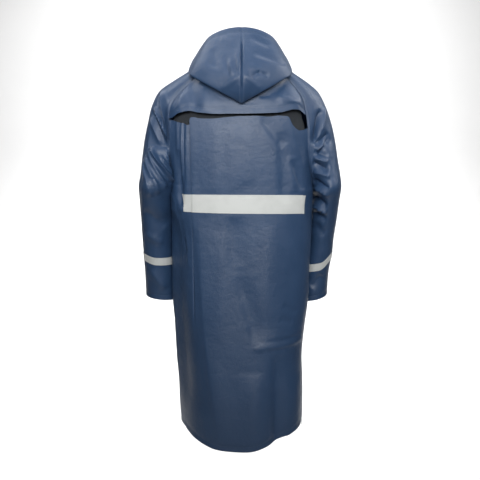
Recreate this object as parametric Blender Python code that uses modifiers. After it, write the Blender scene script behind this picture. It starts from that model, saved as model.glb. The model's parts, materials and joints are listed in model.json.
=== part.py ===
"""A long hooded raincoat, as worn but empty: hood down on the shoulders, raglan sleeves,
a free-hanging back cape over a mesh vent, pleats at both sides of the back, reflective tapes.

Metres, +Z up. The wearer looks along +Y, so the back of the coat faces -Y and the
wearer's right hand is at +X. The origin is the middle of the neck at shoulder height.
Every piece of cloth is a grid that functions shape into its worn form, given its
thickness on the inner side by Solidify.
"""

from collections import namedtuple

import bmesh
import bpy
import numpy as np
from mathutils import Vector

# ---------------------------------------------------------------- driving sizes

CLOTH = 0.0015           # thickness of the coated cloth
TAPE = 0.0008            # thickness of the reflective tape
MESH = 0.0010            # thickness of the vent mesh
SEAM = 0.0004            # room between two pieces at a seam
LEFT, RIGHT = -1, 1      # sides of the wearer, as signs of X

BODY_MIDDLE_Y = -0.020   # depth of the widest line of the body
BACK_SQUARENESS = 2.4    # 2 is an ellipse, more is squarer
FRONT_SQUARENESS = 2.1
HEM_DROP = 1.033         # hem below the neck, at the side seams
FRONT_NECK_DROP = 0.072  # neckline below the neck, at the front edges
FRONT_EDGE = 0.030       # how far each front reaches past the middle
NECK_TO_STUD = 0.145     # first press stud below the neck
STUD_PITCH = 0.145
STUD_COUNT = 6
STUD_RADIUS = 0.0075
STUD_HEIGHT = 0.003
STUD_CROWN = 0.72        # its face, as a part of its width
STUD_GAP = 0.0003        # from the cloth that it is pressed on

# A row for each level of the body: how far it is below the neck, its half widths,
# and where the back and the front lie. The half widths count below the armpits.
Level = namedtuple("Level", "drop left right back front")
BODY = (
    Level(-0.010, 0.198, 0.199, -0.066, 0.050),
    Level(0.005, 0.198, 0.199, -0.078, 0.058),
    Level(0.030, 0.198, 0.199, -0.096, 0.070),
    Level(0.060, 0.198, 0.199, -0.112, 0.086),
    Level(0.100, 0.198, 0.199, -0.124, 0.107),
    Level(0.150, 0.198, 0.199, -0.131, 0.127),
    Level(0.230, 0.198, 0.199, -0.135, 0.140),
    Level(0.340, 0.1980, 0.1996, -0.136, 0.143),
    Level(0.460, 0.1980, 0.1978, -0.136, 0.143),
    Level(0.560, 0.1987, 0.1935, -0.138, 0.144),
    Level(0.665, 0.1985, 0.1908, -0.141, 0.146),
    Level(0.735, 0.1937, 0.1825, -0.144, 0.147),
    Level(0.820, 0.1905, 0.1757, -0.148, 0.149),
    Level(0.900, 0.1850, 0.1785, -0.151, 0.151),
    Level(0.980, 0.1822, 0.1795, -0.154, 0.153),
    Level(1.080, 0.1770, 0.1765, -0.156, 0.155),
)

# A row for each section of a sleeve, from the neck to the cuff: the distance along its
# top, the middle of the section (x away from the body), its half width towards the top
# and the angle that this rises, its half depth and the angle that this dips to the
# front, and how far round it goes before it meets the raglan seams.
Section = namedtuple("Section", "along x y drop out rise deep dip wrap")
SLEEVES = {
    LEFT: (
        Section(0.000, 0.0720, 0.005, 0.013, 0.0205, 47, 0.0557, 17.8, 90),
        Section(0.056, 0.1250, 0.004, 0.067, 0.0437, 74, 0.0790, 13, 90),
        Section(0.119, 0.1760, 0.006, 0.114, 0.0603, 74, 0.0840, 10, 90),
        Section(0.164, 0.1930, 0.006, 0.143, 0.0717, 60, 0.0850, 8, 91),
        Section(0.201, 0.1980, 0.006, 0.176, 0.0809, 53, 0.0840, 6, 95),
        Section(0.256, 0.2080, 0.006, 0.215, 0.0742, 43.7, 0.0820, 4, 105),
        Section(0.303, 0.2185, 0.006, 0.248, 0.0656, 35, 0.0810, 3, 118),
        Section(0.349, 0.2290, 0.003, 0.281, 0.0559, 27, 0.0800, 2, 135),
        Section(0.399, 0.2390, -0.005, 0.315, 0.0461, 12, 0.0790, 0, 160),
        Section(0.429, 0.2433, -0.010, 0.336, 0.0455, 1, 0.0780, 0, 180),
        Section(0.464, 0.2445, 0.004, 0.370, 0.0453, 0, 0.0770, 0, 180),
        Section(0.534, 0.2430, 0.028, 0.440, 0.0470, 0, 0.0760, 0, 180),
        Section(0.644, 0.2405, 0.053, 0.550, 0.0487, 3, 0.0740, 0, 180),
        Section(0.704, 0.2380, 0.064, 0.610, 0.0503, 4, 0.0710, 0, 180),
        Section(0.768, 0.2354, 0.075, 0.674, 0.0536, 5, 0.0690, 0, 180),
    ),
    RIGHT: (
        Section(0.000, 0.0720, 0.005, 0.013, 0.0205, 47, 0.0557, 17.8, 90),
        Section(0.059, 0.1240, 0.004, 0.069, 0.0405, 72, 0.0790, 13, 90),
        Section(0.111, 0.1620, 0.006, 0.116, 0.0620, 70.8, 0.0830, 10, 90),
        Section(0.150, 0.1720, 0.006, 0.149, 0.0789, 59.5, 0.0830, 8, 91),
        Section(0.191, 0.1820, 0.006, 0.183, 0.0843, 53.3, 0.0820, 6, 95),
        Section(0.244, 0.1940, 0.006, 0.218, 0.0786, 44, 0.0810, 4, 105),
        Section(0.294, 0.2085, 0.006, 0.250, 0.0660, 35, 0.0800, 3, 118),
        Section(0.338, 0.2235, 0.004, 0.283, 0.0522, 26.8, 0.0790, 2, 135),
        Section(0.388, 0.2360, -0.004, 0.318, 0.0432, 17, 0.0780, 0, 160),
        Section(0.418, 0.2402, -0.009, 0.340, 0.0405, 6, 0.0780, 0, 180),
        Section(0.463, 0.2405, 0.014, 0.380, 0.0390, 2, 0.0780, 0, 180),
        Section(0.523, 0.2365, 0.044, 0.440, 0.0415, 3, 0.0780, 0, 180),
        Section(0.583, 0.2312, 0.064, 0.500, 0.0430, 8, 0.0760, 0, 180),
        Section(0.638, 0.2265, 0.076, 0.555, 0.0460, 12, 0.0740, 0, 180),
        Section(0.693, 0.2200, 0.086, 0.612, 0.0450, 12, 0.0720, 0, 180),
        Section(0.757, 0.2165, 0.094, 0.680, 0.0462, 11, 0.0700, 0, 180),
    ),
}
ARMPIT = {LEFT: 0.429, RIGHT: 0.418}       # distance along each sleeve's top
CAPE_CORNER = {LEFT: 0.184, RIGHT: 0.155}  # where the cape's free edge meets the sleeve
CUFF = {LEFT: 0.768, RIGHT: 0.757}
TAPE_TOP = {LEFT: 0.637, RIGHT: 0.647}
TAPE_WIDTH_SLEEVE = 0.0225
TAPE_RISE = {LEFT: 0.006, RIGHT: 0.018}    # the sleeve's tape sits this much higher outside
RISE_STARTS, RISE_FULL = 85, 35            # angles from the top of the sleeve

# The side seams, from the armpits to the hem: their depth at each level.
Side = namedtuple("Side", "drop left right")
SIDE_SEAM = (
    Side(0.336, -0.010, -0.009),
    Side(0.342, -0.013, -0.009),
    Side(0.354, -0.044, -0.028),
    Side(0.366, -0.066, -0.048),
    Side(0.405, -0.078, -0.058),
    Side(0.600, -0.078, -0.056),
    Side(1.080, -0.074, -0.054),
)

# Edges that hang across the back, a row for each place across it: the cape's free edge,
# the back panel's top edge behind it, and how far the hem dips below HEM_DROP.
Across = namedtuple("Across", "x cape panel hem")
BACK_EDGES = (
    Across(-0.190, 0.1520, 0.1530, -0.003),
    Across(-0.160, 0.1404, 0.1650, 0.005),
    Across(-0.138, 0.1363, 0.1600, 0.012),
    Across(-0.115, 0.1400, 0.1550, 0.019),
    Across(-0.080, 0.1440, 0.1557, 0.029),
    Across(-0.030, 0.1440, 0.1512, 0.034),
    Across(0.020, 0.1440, 0.1475, 0.033),
    Across(0.070, 0.1422, 0.1503, 0.021),
    Across(0.105, 0.1395, 0.1500, 0.007),
    Across(0.130, 0.1335, 0.1680, 0.000),
    Across(0.152, 0.1325, 0.1700, -0.009),
    Across(0.180, 0.1400, 0.1450, -0.018),
)

# The side pleats of the back: the line where each folds, and how deep the strip beyond
# it lies.
Pleat = namedtuple("Pleat", "drop left left_depth right right_depth")
PLEATS = (
    Pleat(0.140, 0.138, 0.009, 0.117, 0.012),
    Pleat(0.165, 0.136, 0.009, 0.130, 0.012),
    Pleat(0.190, 0.135, 0.008, 0.138, 0.010),
    Pleat(0.215, 0.134, 0.007, 0.145, 0.008),
    Pleat(0.240, 0.134, 0.006, 0.154, 0.005),
    Pleat(0.265, 0.133, 0.005, 0.162, 0.001),
    Pleat(0.350, 0.132, 0.004, 0.163, 0.000),
    Pleat(0.420, 0.132, 0.003, 0.163, 0.000),
    Pleat(0.660, 0.132, 0.000, 0.155, 0.000),
    Pleat(1.080, 0.128, 0.000, 0.145, 0.000),
)

# The hood, lying down on the shoulders, a row for each place from its front edge (0) to
# the seam at the middle of the back (1) and just past it, as points out from the middle:
# u, under, the layer that lies on the coat; f, the fold where it turns back up; o, outer,
# the layer that shows; b, the brim, the edge of its face opening.
Cowl = namedtuple("Cowl", "part ux uy uz fx fy fz ox oy oz bx by bz")
HOOD = (
    Cowl(0.00, 0.014, 0.106, -0.075, 0.014, 0.119, -0.090, 0.015, 0.124, -0.078, 0.016, 0.119, -0.063),
    Cowl(0.18, 0.060, 0.099, -0.050, 0.072, 0.118, -0.078, 0.079, 0.119, -0.056, 0.076, 0.103, -0.034),
    Cowl(0.36, 0.104, 0.056, -0.006, 0.122, 0.073, -0.032, 0.128, 0.068, -0.014, 0.118, 0.052, 0.002),
    Cowl(0.52, 0.114, -0.006, 0.009, 0.136, -0.012, -0.014, 0.134, -0.012, 0.001, 0.123, -0.008, 0.018),
    Cowl(0.66, 0.104, -0.074, -0.008, 0.137, -0.089, -0.040, 0.129, -0.076, -0.009, 0.107, -0.050, 0.037),
    Cowl(0.78, 0.078, -0.104, -0.034, 0.100, -0.126, -0.064, 0.104, -0.112, -0.012, 0.082, -0.070, 0.061),
    Cowl(0.90, 0.036, -0.118, -0.052, 0.045, -0.146, -0.097, 0.050, -0.145, -0.030, 0.037, -0.082, 0.077),
    Cowl(0.96, 0.012, -0.122, -0.061, 0.015, -0.1435, -0.1165, 0.017, -0.162, -0.044, 0.012, -0.085, 0.080),
    Cowl(1.00, 0.000, -0.122, -0.0615, 0.000, -0.143, -0.1178, 0.000, -0.166, -0.048, 0.000, -0.085, 0.080),
    Cowl(1.04, -0.012, -0.122, -0.061, -0.015, -0.1435, -0.1165, -0.017, -0.162, -0.044, -0.012, -0.085, 0.080),
)
HOOD_WIDTH = {LEFT: 1.00, RIGHT: 0.95}     # the right half sits closer in

# Soft folds of the cloth, each along a line in the plane seen from behind or in front:
# from one place (x, drop) to another, how wide it is and how high (below 0, a trough).
Fold = namedtuple("Fold", "x0 d0 x1 d1 width height")
BACK_FOLDS = (
    Fold(-0.024, 0.17, -0.022, 0.34, 0.020, 0.0030),
    Fold(-0.068, 0.17, -0.070, 0.34, 0.022, 0.0030),
    Fold(0.060, 0.165, 0.104, 0.215, 0.014, -0.0045),
    Fold(0.106, 0.20, 0.108, 0.345, 0.018, -0.0035),
    Fold(-0.023, 0.41, -0.018, 0.57, 0.022, -0.0045),
    Fold(-0.018, 0.55, 0.048, 0.77, 0.024, -0.0060),
    Fold(-0.118, 0.42, -0.104, 0.74, 0.030, 0.0060),
    Fold(-0.104, 0.72, -0.064, 1.06, 0.032, 0.0080),
    Fold(-0.150, 0.62, -0.128, 1.12, 0.030, -0.0070),
    Fold(0.050, 0.790, 0.158, 0.784, 0.018, 0.0055),
    Fold(0.098, 0.80, 0.102, 1.12, 0.024, -0.0090),
    Fold(0.040, 0.84, 0.034, 1.12, 0.036, 0.0070),
    Fold(0.150, 0.86, 0.152, 1.12, 0.026, 0.0050),
    Fold(0.075, 0.43, 0.068, 0.70, 0.030, 0.0035),
)
FRONT_FOLDS = (
    Fold(-0.120, 0.46, -0.132, 1.12, 0.032, -0.0080),
    Fold(-0.088, 0.52, -0.080, 1.12, 0.030, 0.0070),
    Fold(-0.160, 0.34, -0.148, 0.80, 0.026, 0.0040),
    Fold(-0.150, 0.30, -0.085, 0.44, 0.018, -0.0040),
    Fold(0.128, 0.44, 0.118, 1.12, 0.030, -0.0080),
    Fold(0.076, 0.50, 0.090, 1.12, 0.030, 0.0070),
    Fold(0.158, 0.40, 0.150, 0.90, 0.026, 0.0040),
    Fold(0.152, 0.31, 0.092, 0.43, 0.018, -0.0040),
    Fold(-0.100, 0.12, -0.120, 0.24, 0.022, -0.0030),
    Fold(0.098, 0.12, 0.116, 0.25, 0.022, -0.0030),
)
SLEEVE_FOLDS = {
    LEFT: (
        Fold(0.208, 0.092, 0.199, 0.200, 0.011, -0.0060),
        Fold(0.237, 0.130, 0.206, 0.240, 0.013, -0.0050),
        Fold(0.250, 0.236, 0.200, 0.262, 0.018, -0.0090),
        Fold(0.252, 0.262, 0.208, 0.350, 0.014, 0.0050),
        Fold(0.262, 0.330, 0.216, 0.430, 0.018, -0.0050),
        Fold(0.268, 0.440, 0.214, 0.480, 0.018, 0.0040),
        Fold(0.262, 0.580, 0.220, 0.640, 0.016, -0.0040),
    ),
    RIGHT: (
        Fold(0.216, 0.138, 0.192, 0.222, 0.013, -0.0070),
        Fold(0.240, 0.194, 0.200, 0.230, 0.012, -0.0050),
        Fold(0.250, 0.270, 0.204, 0.284, 0.015, -0.0055),
        Fold(0.250, 0.330, 0.208, 0.318, 0.014, 0.0045),
        Fold(0.248, 0.392, 0.206, 0.350, 0.015, -0.0060),
        Fold(0.246, 0.416, 0.206, 0.410, 0.014, 0.0050),
        Fold(0.240, 0.470, 0.205, 0.440, 0.015, -0.0050),
        Fold(0.236, 0.600, 0.204, 0.640, 0.016, -0.0040),
    ),
}

# How finely the cloth is divided: steps across each part of the back, and down.
STRIP_STEPS, PLEAT_STEPS, MIDDLE_STEPS = 4, 1, 13
CAPE_ROWS, YOKE_ROWS, BAND_ROWS, SKIRT_ROWS = 6, 8, 2, 17
CAPE_COLUMNS = 20
FRONT_COLUMNS = 13
SLEEVE_COLUMNS = 18
FOREARM_ROWS = (5, 1, 4)      # armpit to tape, over the tape, tape to cuff
HOOD_COLUMNS, HOOD_ROWS = 14, 13

BAND_TOP = {LEFT: 0.358, RIGHT: 0.363}       # the wide tape at the side seams
BAND_BOTTOM = {LEFT: 0.402, RIGHT: 0.411}
BAND_TOP_RISE = 0.007                        # and how much higher it is at the middle
BAND_BOTTOM_RISE = 0.003
BAND_BOW = 0.7                               # below 1, the rise comes soon after the seams
BAND_START, BAND_END = 2.4, 20               # the back's columns that it covers
BAND_ROOM = 0.0007                           # under it, where it cuts across a column
ROWS_TO_EVEN = 5                             # the rows below it that take the rise up


# ---------------------------------------------------------------- reading the tables

def read(table, name, at):
    """One column of a table as a smooth curve through its rows, at any places."""
    keys = np.array([row[0] for row in table], float)
    values = np.array([getattr(row, name) for row in table], float)
    slopes = np.gradient(values, keys)
    at = np.clip(at, keys[0], keys[-1])
    i = np.clip(np.searchsorted(keys, at) - 1, 0, len(keys) - 2)
    step = keys[i + 1] - keys[i]
    t = (at - keys[i]) / step
    return (
        values[i] * (1 + 2 * t) * (1 - t) ** 2
        + values[i + 1] * t * t * (3 - 2 * t)
        + slopes[i] * step * t * (1 - t) ** 2
        - slopes[i + 1] * step * t * t * (1 - t)
    )


def spans(at, knots, values):
    """Straight runs from value to value, each knot reaching its value in turn."""
    total = values[0] + 0 * at
    for k in range(len(knots) - 1):
        part = np.clip((at - knots[k]) / (knots[k + 1] - knots[k]), 0, 1)
        total = total + (values[k + 1] - values[k]) * part
    return total


def ease(t):
    """0 to 1 with a soft start and end."""
    t = np.clip(t, 0, 1)
    return t * t * (3 - 2 * t)


def folds(table, x, drop):
    """The height of all of a table's folds at the places (x, drop)."""
    total = 0 * x
    for fold in table:
        run = np.array([fold.x1 - fold.x0, fold.d1 - fold.d0])
        t = ((x - fold.x0) * run[0] + (drop - fold.d0) * run[1]) / run.dot(run)
        t = np.clip(t, 0, 1)
        away = np.hypot(x - fold.x0 - t * run[0], drop - fold.d0 - t * run[1])
        total = total + fold.height * np.exp(-(away / fold.width) ** 2) * (1 - (2 * t - 1) ** 4)
    return total


# ---------------------------------------------------------------- forms of the coat

UNDER_ARM = 0.05         # the body takes this far below the armpit to reach its own width
SEAM_STARTS = 0.25       # back and front part at this level, where they near each other
NEARLY = 0.999           # keeps a seam off the very side of the body


def sleeve(side, along, turn):
    """Points on a sleeve; turn is the angle round it from its top, below 0 behind."""
    table = SLEEVES[side]
    rise = np.radians(read(table, "rise", along))
    dip = np.radians(read(table, "dip", along))
    out = read(table, "out", along) * np.cos(np.radians(turn))
    deep = read(table, "deep", along) * np.sin(np.radians(turn))
    x = read(table, "x", along) + out * np.cos(rise)
    y = read(table, "y", along) + deep * np.cos(dip) + SEAM / 2 * turn / 180
    z = -read(table, "drop", along) + out * np.sin(rise) - deep * np.sin(dip)
    return np.stack([side * x, y, z], axis=-1)


def raglan_seam(side, front):
    """The seam's points from the neck to the armpit, behind or in front."""
    along = np.linspace(0, ARMPIT[side], 400)
    turn = read(SLEEVES[side], "wrap", along) * (1 if front else -1)
    return sleeve(side, along, turn)


RAGLAN = {(side, front): raglan_seam(side, front) for side in (LEFT, RIGHT) for front in (False, True)}


def depth_and_squareness(drop, front):
    if front:
        return read(BODY, "front", drop) - BODY_MIDDLE_Y, FRONT_SQUARENESS
    return BODY_MIDDLE_Y - read(BODY, "back", drop), BACK_SQUARENESS


def half_width(side, front, drop):
    """Half the body's width: above the armpit the body passes through the raglan seam."""
    seam = RAGLAN[side, front]
    x, y = abs(seam[:, 0]) - SEAM, seam[:, 1] - BODY_MIDDLE_Y
    back_depth, back_square = depth_and_squareness(-seam[:, 2], False)
    front_depth, front_square = depth_and_squareness(-seam[:, 2], True)
    behind = (1 - np.clip(-y / back_depth, 0, NEARLY) ** back_square) ** (1 / back_square)
    before = (1 - np.clip(y / front_depth, 0, NEARLY) ** front_square) ** (1 / front_square)
    at_seam = x / (behind * before)
    armpit = -seam[-1, 2]
    name = "left" if side == LEFT else "right"
    step = at_seam[-1] - read(BODY, name, armpit)
    below = read(BODY, name, drop) + step * (1 - ease((drop - armpit) / UNDER_ARM))
    return np.where(drop < armpit, np.interp(drop, -seam[:, 2], at_seam), below)


def body(drop, angle):
    """Points on the body of the coat; angle in degrees, 0 at the right, 90 in front."""
    cosine, sine = np.cos(np.radians(angle)), np.sin(np.radians(angle))
    x, y = 0 * cosine, 0 * sine
    for side in (LEFT, RIGHT):
        for front in (False, True):
            here = (np.sign(cosine + 1e-12) == side) & ((sine > 0) == front)
            depth, square = depth_and_squareness(drop, front)
            width = half_width(side, front, drop)
            x = np.where(here, side * width * abs(cosine) ** (2 / square), x)
            y = np.where(here, (1 if front else -1) * depth * abs(sine) ** (2 / square), y)
    return np.stack([x, BODY_MIDDLE_Y + y, -drop], axis=-1)


def angle_of_depth(side, drop, y):
    """The angle at which the body of the coat is y deep on one side."""
    y = y - BODY_MIDDLE_Y
    back_depth, back_square = depth_and_squareness(drop, False)
    front_depth, front_square = depth_and_squareness(drop, True)
    behind = np.degrees(np.arcsin(np.clip(-y / back_depth, 0, 1) ** (back_square / 2)))
    before = np.degrees(np.arcsin(np.clip(y / front_depth, 0, 1) ** (front_square / 2)))
    return before - behind if side == RIGHT else 180 - before + behind


def angle_of_width(front, drop, x):
    """The angle at which the front or the back of the coat is x from the middle."""
    square = FRONT_SQUARENESS if front else BACK_SQUARENESS
    width = np.where(x < 0, half_width(LEFT, front, drop), half_width(RIGHT, front, drop))
    lean = np.degrees(np.arcsin(np.sign(x) * np.clip(abs(x) / width, 0, 1) ** (square / 2)))
    return 90 - lean if front else 270 + lean


def seam_angle(side, front, drop):
    """Where a panel of the body ends at one side: raglan seam above, side seam below."""
    seam = RAGLAN[side, front]
    raglan = np.interp(drop, -seam[:, 2], seam[:, 1])
    name = "left" if side == LEFT else "right"
    y = np.where(drop <= -seam[-1, 2] + 1e-6, raglan, read(SIDE_SEAM, name, drop))
    room = SEAM * (1 if front else -1) * ease((drop - SEAM_STARTS) / UNDER_ARM)
    return angle_of_depth(side, drop, y + room)


# ---------------------------------------------------------------- rows down the coat

def sleeve_rows(side):
    """Distances along a sleeve of all its rows, so that its seams share their points."""
    corner, armpit = CAPE_CORNER[side], ARMPIT[side]
    tape, cuff = TAPE_TOP[side], CUFF[side]
    stops = (0, corner, armpit, tape, tape + TAPE_WIDTH_SLEEVE, cuff)
    counts = (CAPE_ROWS, YOKE_ROWS) + FOREARM_ROWS
    return rows_between(stops, counts)


def rows_between(stops, counts):
    runs = [np.linspace(stops[k], stops[k + 1], counts[k] + 1)[1:] for k in range(len(counts))]
    return np.concatenate([[stops[0]]] + runs)


def raglan_drops(side, front, first, last):
    """How far below the neck the sleeve's rows reach the raglan seam."""
    along = sleeve_rows(side)[first:last + 1]
    turn = read(SLEEVES[side], "wrap", along) * (1 if front else -1)
    return -sleeve(side, along, turn)[:, 2]


def side_drops(side):
    """How far below the neck the rows of all panels reach the side seam."""
    armpit = raglan_drops(side, False, CAPE_ROWS + YOKE_ROWS, CAPE_ROWS + YOKE_ROWS)[0]
    stops = (armpit, BAND_TOP[side], BAND_BOTTOM[side], HEM_DROP)
    return rows_between(stops, (1, BAND_ROWS, SKIRT_ROWS))[1:]


# ---------------------------------------------------------------- making cloth

def outward(points):
    """The unit normals of a grid of points, rows going down and columns anticlockwise."""
    across = np.gradient(points, axis=1)
    down = np.gradient(points, axis=0)
    normal = np.cross(across, -down)
    return normal / np.linalg.norm(normal, axis=-1, keepdims=True)


def lift(points, height):
    height = np.broadcast_to(height, points.shape[:2])
    return points + outward(points) * height[..., None]


def material(name, colour, roughness, metallic=0.0):
    made = bpy.data.materials.new(name)
    made.use_nodes = True
    shader = made.node_tree.nodes["Principled BSDF"]
    shader.inputs["Base Color"].default_value = (*colour, 1)
    shader.inputs["Roughness"].default_value = roughness
    shader.inputs["Metallic"].default_value = metallic
    made.diffuse_color = (*colour, 1)
    return made


def cloth(name, points, thickness, finish):
    """A grid whose points are set, with its thickness on the inner side."""
    rows, columns = points.shape[0] - 1, points.shape[1] - 1
    mesh = bpy.data.meshes.new(name)
    grid = bmesh.new()
    bmesh.ops.create_grid(grid, x_segments=columns, y_segments=rows, size=1)
    for vertex in grid.verts:
        column = round((vertex.co.x + 1) / 2 * columns)
        row = round((1 - vertex.co.y) / 2 * rows)
        vertex.co = points[row, column]
    grid.to_mesh(mesh)
    grid.free()
    mesh.shade_smooth()
    mesh.materials.append(finish)
    piece = bpy.data.objects.new(name, mesh)
    coat.objects.link(piece)
    piece.parent = wearer
    wall = piece.modifiers.new("wall", "SOLIDIFY")
    wall.thickness = thickness
    wall.offset = -1
    return piece


# ---------------------------------------------------------------- the back

BACK_KNOTS = np.cumsum([0, STRIP_STEPS, PLEAT_STEPS, MIDDLE_STEPS, PLEAT_STEPS, STRIP_STEPS])
PLEAT_WIDTH = 0.004      # a pleat's step, from the fold to the strip beyond it
CORNER_ROOM = 0.0006     # the back panel starts this far below the cape's corners
CAPE_STAND = 0.005       # the cape's free edge stands off the back
CAPE_FREE = 0.375        # this part of the way down it starts to
MESH_TOP, MESH_BOTTOM = 0.112, 0.192
MESH_ROWS = 5
MESH_DEPTH = 0.0075      # the mesh hangs this deep in the vent's gap
MESH_ROOM = 0.0008       # and lies this close behind the cloth it is sewn to
MESH_END = 1             # columns that it leaves free at each seam
MESH_HEM = 0.87          # from this part of its height down it lies against the cloth
MESH_SEWN = 0.4          # and below this part it follows the pleats


def pleated_angles(column, drop):
    """The back's columns: two of them follow the fold of each pleat."""
    left = read(PLEATS, "left", drop)
    right = read(PLEATS, "right", drop)
    places = (
        seam_angle(LEFT, False, drop),
        angle_of_width(False, drop, -left - PLEAT_WIDTH),
        angle_of_width(False, drop, -left),
        angle_of_width(False, drop, right),
        angle_of_width(False, drop, right + PLEAT_WIDTH),
        360 + seam_angle(RIGHT, False, drop),
    )
    return spans(column, BACK_KNOTS, places)


def pleat_depth(column, drop):
    """How deep the strips beyond the pleats lie: nothing at the seams."""
    last = BACK_KNOTS[-1]
    left = np.sqrt(np.clip(column / STRIP_STEPS, 0, 1)) * (column < BACK_KNOTS[2])
    right = np.sqrt(np.clip((last - column) / STRIP_STEPS, 0, 1)) * (column > BACK_KNOTS[3])
    depth = left * read(PLEATS, "left_depth", drop) + right * read(PLEATS, "right_depth", drop)
    return np.maximum(depth, 0)


def edge_mask(column, last, steps):
    """Nothing at the two seams of a panel, all of it a few columns in."""
    return ease(np.minimum(column, last - column) / steps)


def across(columns, drop_left, drop_right):
    """The columns and the level of each point of rows that run from seam to seam."""
    columns = np.arange(columns + 1.0)
    part = columns / columns[-1]
    drop = drop_left[:, None] * (1 - part) + drop_right[:, None] * part
    return np.broadcast_to(columns, drop.shape), drop


def back_surface(column, drop):
    """The back with its pleats and folds, at any of its columns and levels."""
    points = body(drop, pleated_angles(column, drop))
    mask = edge_mask(column, BACK_KNOTS[-1], 3)
    return lift(points, folds(BACK_FOLDS, points[..., 0], drop) * mask - pleat_depth(column, drop))


def back_panel_points():
    """The back below the cape, with its pleats, its folds and its hem."""
    first, armpit = CAPE_ROWS, CAPE_ROWS + YOKE_ROWS
    left = np.concatenate([raglan_drops(LEFT, False, first, armpit), side_drops(LEFT)])
    right = np.concatenate([raglan_drops(RIGHT, False, first, armpit), side_drops(RIGHT)])
    column, drop = across(BACK_KNOTS[-1], left, right)
    row = np.arange(len(left), dtype=float)[:, None]
    band = YOKE_ROWS + 1
    above = 1 - np.clip(row / (YOKE_ROWS - 2), 0, 1)
    below = np.clip((row - band - BAND_ROWS) / SKIRT_ROWS, 0, 1)
    x = body(drop, pleated_angles(column, drop))[..., 0]
    top = np.maximum(read(BACK_EDGES, "panel", x) - drop[:1], CORNER_ROOM)
    hem = read(BACK_EDGES, "hem", x)
    bow = np.sin(np.pi * column / column[0, -1]) ** BAND_BOW
    rise = np.interp(row, [YOKE_ROWS, band, band + BAND_ROWS, band + BAND_ROWS + ROWS_TO_EVEN],
                     [0, BAND_TOP_RISE, BAND_BOTTOM_RISE, 0])
    return back_surface(column, drop + top * above ** 2 + hem * below ** 2 - rise * bow)


def cape_points():
    """The free-hanging cape, from the neckline to its edge."""
    left = raglan_drops(LEFT, False, 0, CAPE_ROWS)
    right = raglan_drops(RIGHT, False, 0, CAPE_ROWS)
    column, drop = across(CAPE_COLUMNS, left, right)
    part = column / CAPE_COLUMNS
    down = np.arange(CAPE_ROWS + 1)[:, None] / CAPE_ROWS
    mask = edge_mask(column, CAPE_COLUMNS, 3)
    ends = [seam_angle(LEFT, False, drop), 360 + seam_angle(RIGHT, False, drop)]
    x = body(drop, spans(part, (0, 1), ends))[..., 0]
    edge = read(BACK_EDGES, "cape", x) - drop[-1:]
    drop = drop + edge * down ** 2 * mask
    ends = [seam_angle(LEFT, False, drop), 360 + seam_angle(RIGHT, False, drop)]
    points = body(drop, spans(part, (0, 1), ends))
    return lift(points, CAPE_STAND * ease((down - CAPE_FREE) / (1 - CAPE_FREE)) * mask)


def mesh_points():
    """The vent's mesh: sewn under the cape above, and behind the back panel below."""
    column = np.arange(MESH_END, BACK_KNOTS[-1] + 1.0 - MESH_END)
    down = np.linspace(0, 1, MESH_ROWS + 1)[:, None]
    drop = MESH_TOP + (MESH_BOTTOM - MESH_TOP) * down + 0 * column
    column = np.broadcast_to(column, drop.shape)
    pleat = pleat_depth(column, drop)
    pocket = MESH_DEPTH * np.sin(np.pi * np.clip(down / MESH_HEM, 0, 1))
    keep = ease(down / MESH_SEWN)
    return lift(back_surface(column, drop), pleat * (1 - keep) - CLOTH - MESH_ROOM
                - np.maximum(pocket - pleat * keep, 0))


def band_points(back):
    """The wide reflective tape, from the back panel's own points, short of the side seams."""
    first = YOKE_ROWS + 1
    points = lift(back[first:first + BAND_ROWS + 1], TAPE + BAND_ROOM)
    column, part = int(BAND_START), BAND_START % 1
    start = points[:, column] * (1 - part) + points[:, column + 1] * part
    return np.concatenate([start[:, None], points[:, column + 1:BAND_END + 1]], axis=1)


# ---------------------------------------------------------------- the fronts

LAP = CLOTH + 0.0010     # the left front lies this far outside the right one
LAP_START, LAP_FULL = -0.075, -0.045
NECK_ROUNDNESS = 2.5
FOLDS_FULL = 0.04        # folds die away over this distance from the front edge
FOLDS_BACK = 0.03        # and over this depth behind the origin
SMOOTH_COLUMNS = 0.22    # and over this part of the front at its seams
SMOOTH_ROWS = 3          # and over these rows below the neck


def neck_curve(seam_drop, edge_drop, x, seam_x):
    """The level of a row that runs from the raglan seam to the front edge."""
    return seam_drop + (edge_drop - seam_drop) * (1 - np.clip(abs(x) / seam_x, 0, 1) ** NECK_ROUNDNESS)


def front_points(side):
    """One front, from its seam with the sleeve or the back to its edge past the middle."""
    armpit = CAPE_ROWS + YOKE_ROWS
    seam_drop = np.concatenate([raglan_drops(side, True, 0, armpit), side_drops(side)])[:, None]
    row = np.arange(len(seam_drop), dtype=float)[:, None]
    edge_drop = seam_drop + (FRONT_NECK_DROP - seam_drop[0]) * (1 - ease(row / armpit))
    part = np.arange(FRONT_COLUMNS + 1.0) / FRONT_COLUMNS
    level = seam_drop + 0 * part
    start = seam_angle(side, True, level)
    end = angle_of_width(True, level, -side * FRONT_EDGE + 0 * level)
    angle = start + (end - start) * part
    x = body(level, angle)[..., 0]
    drop = neck_curve(seam_drop, edge_drop, x, abs(x[:, :1]))
    above = body(drop, angle_of_width(True, drop, x))
    points = np.where((row < armpit)[..., None], above, body(level, angle))
    x, y = points[..., 0], points[..., 1]
    height = folds(FRONT_FOLDS, x, -points[..., 2])
    height = height * ease(part / SMOOTH_COLUMNS) * ease(row / SMOOTH_ROWS)
    height = height * ease((abs(x) - FRONT_EDGE) / FOLDS_FULL) * ease(1 + y / FOLDS_BACK)
    if side == RIGHT:
        return lift(points, height)
    height = height + LAP * ease((x - LAP_START) / (LAP_FULL - LAP_START))
    return lift(points[:, ::-1], height[:, ::-1])


# ---------------------------------------------------------------- the sleeves

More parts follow.
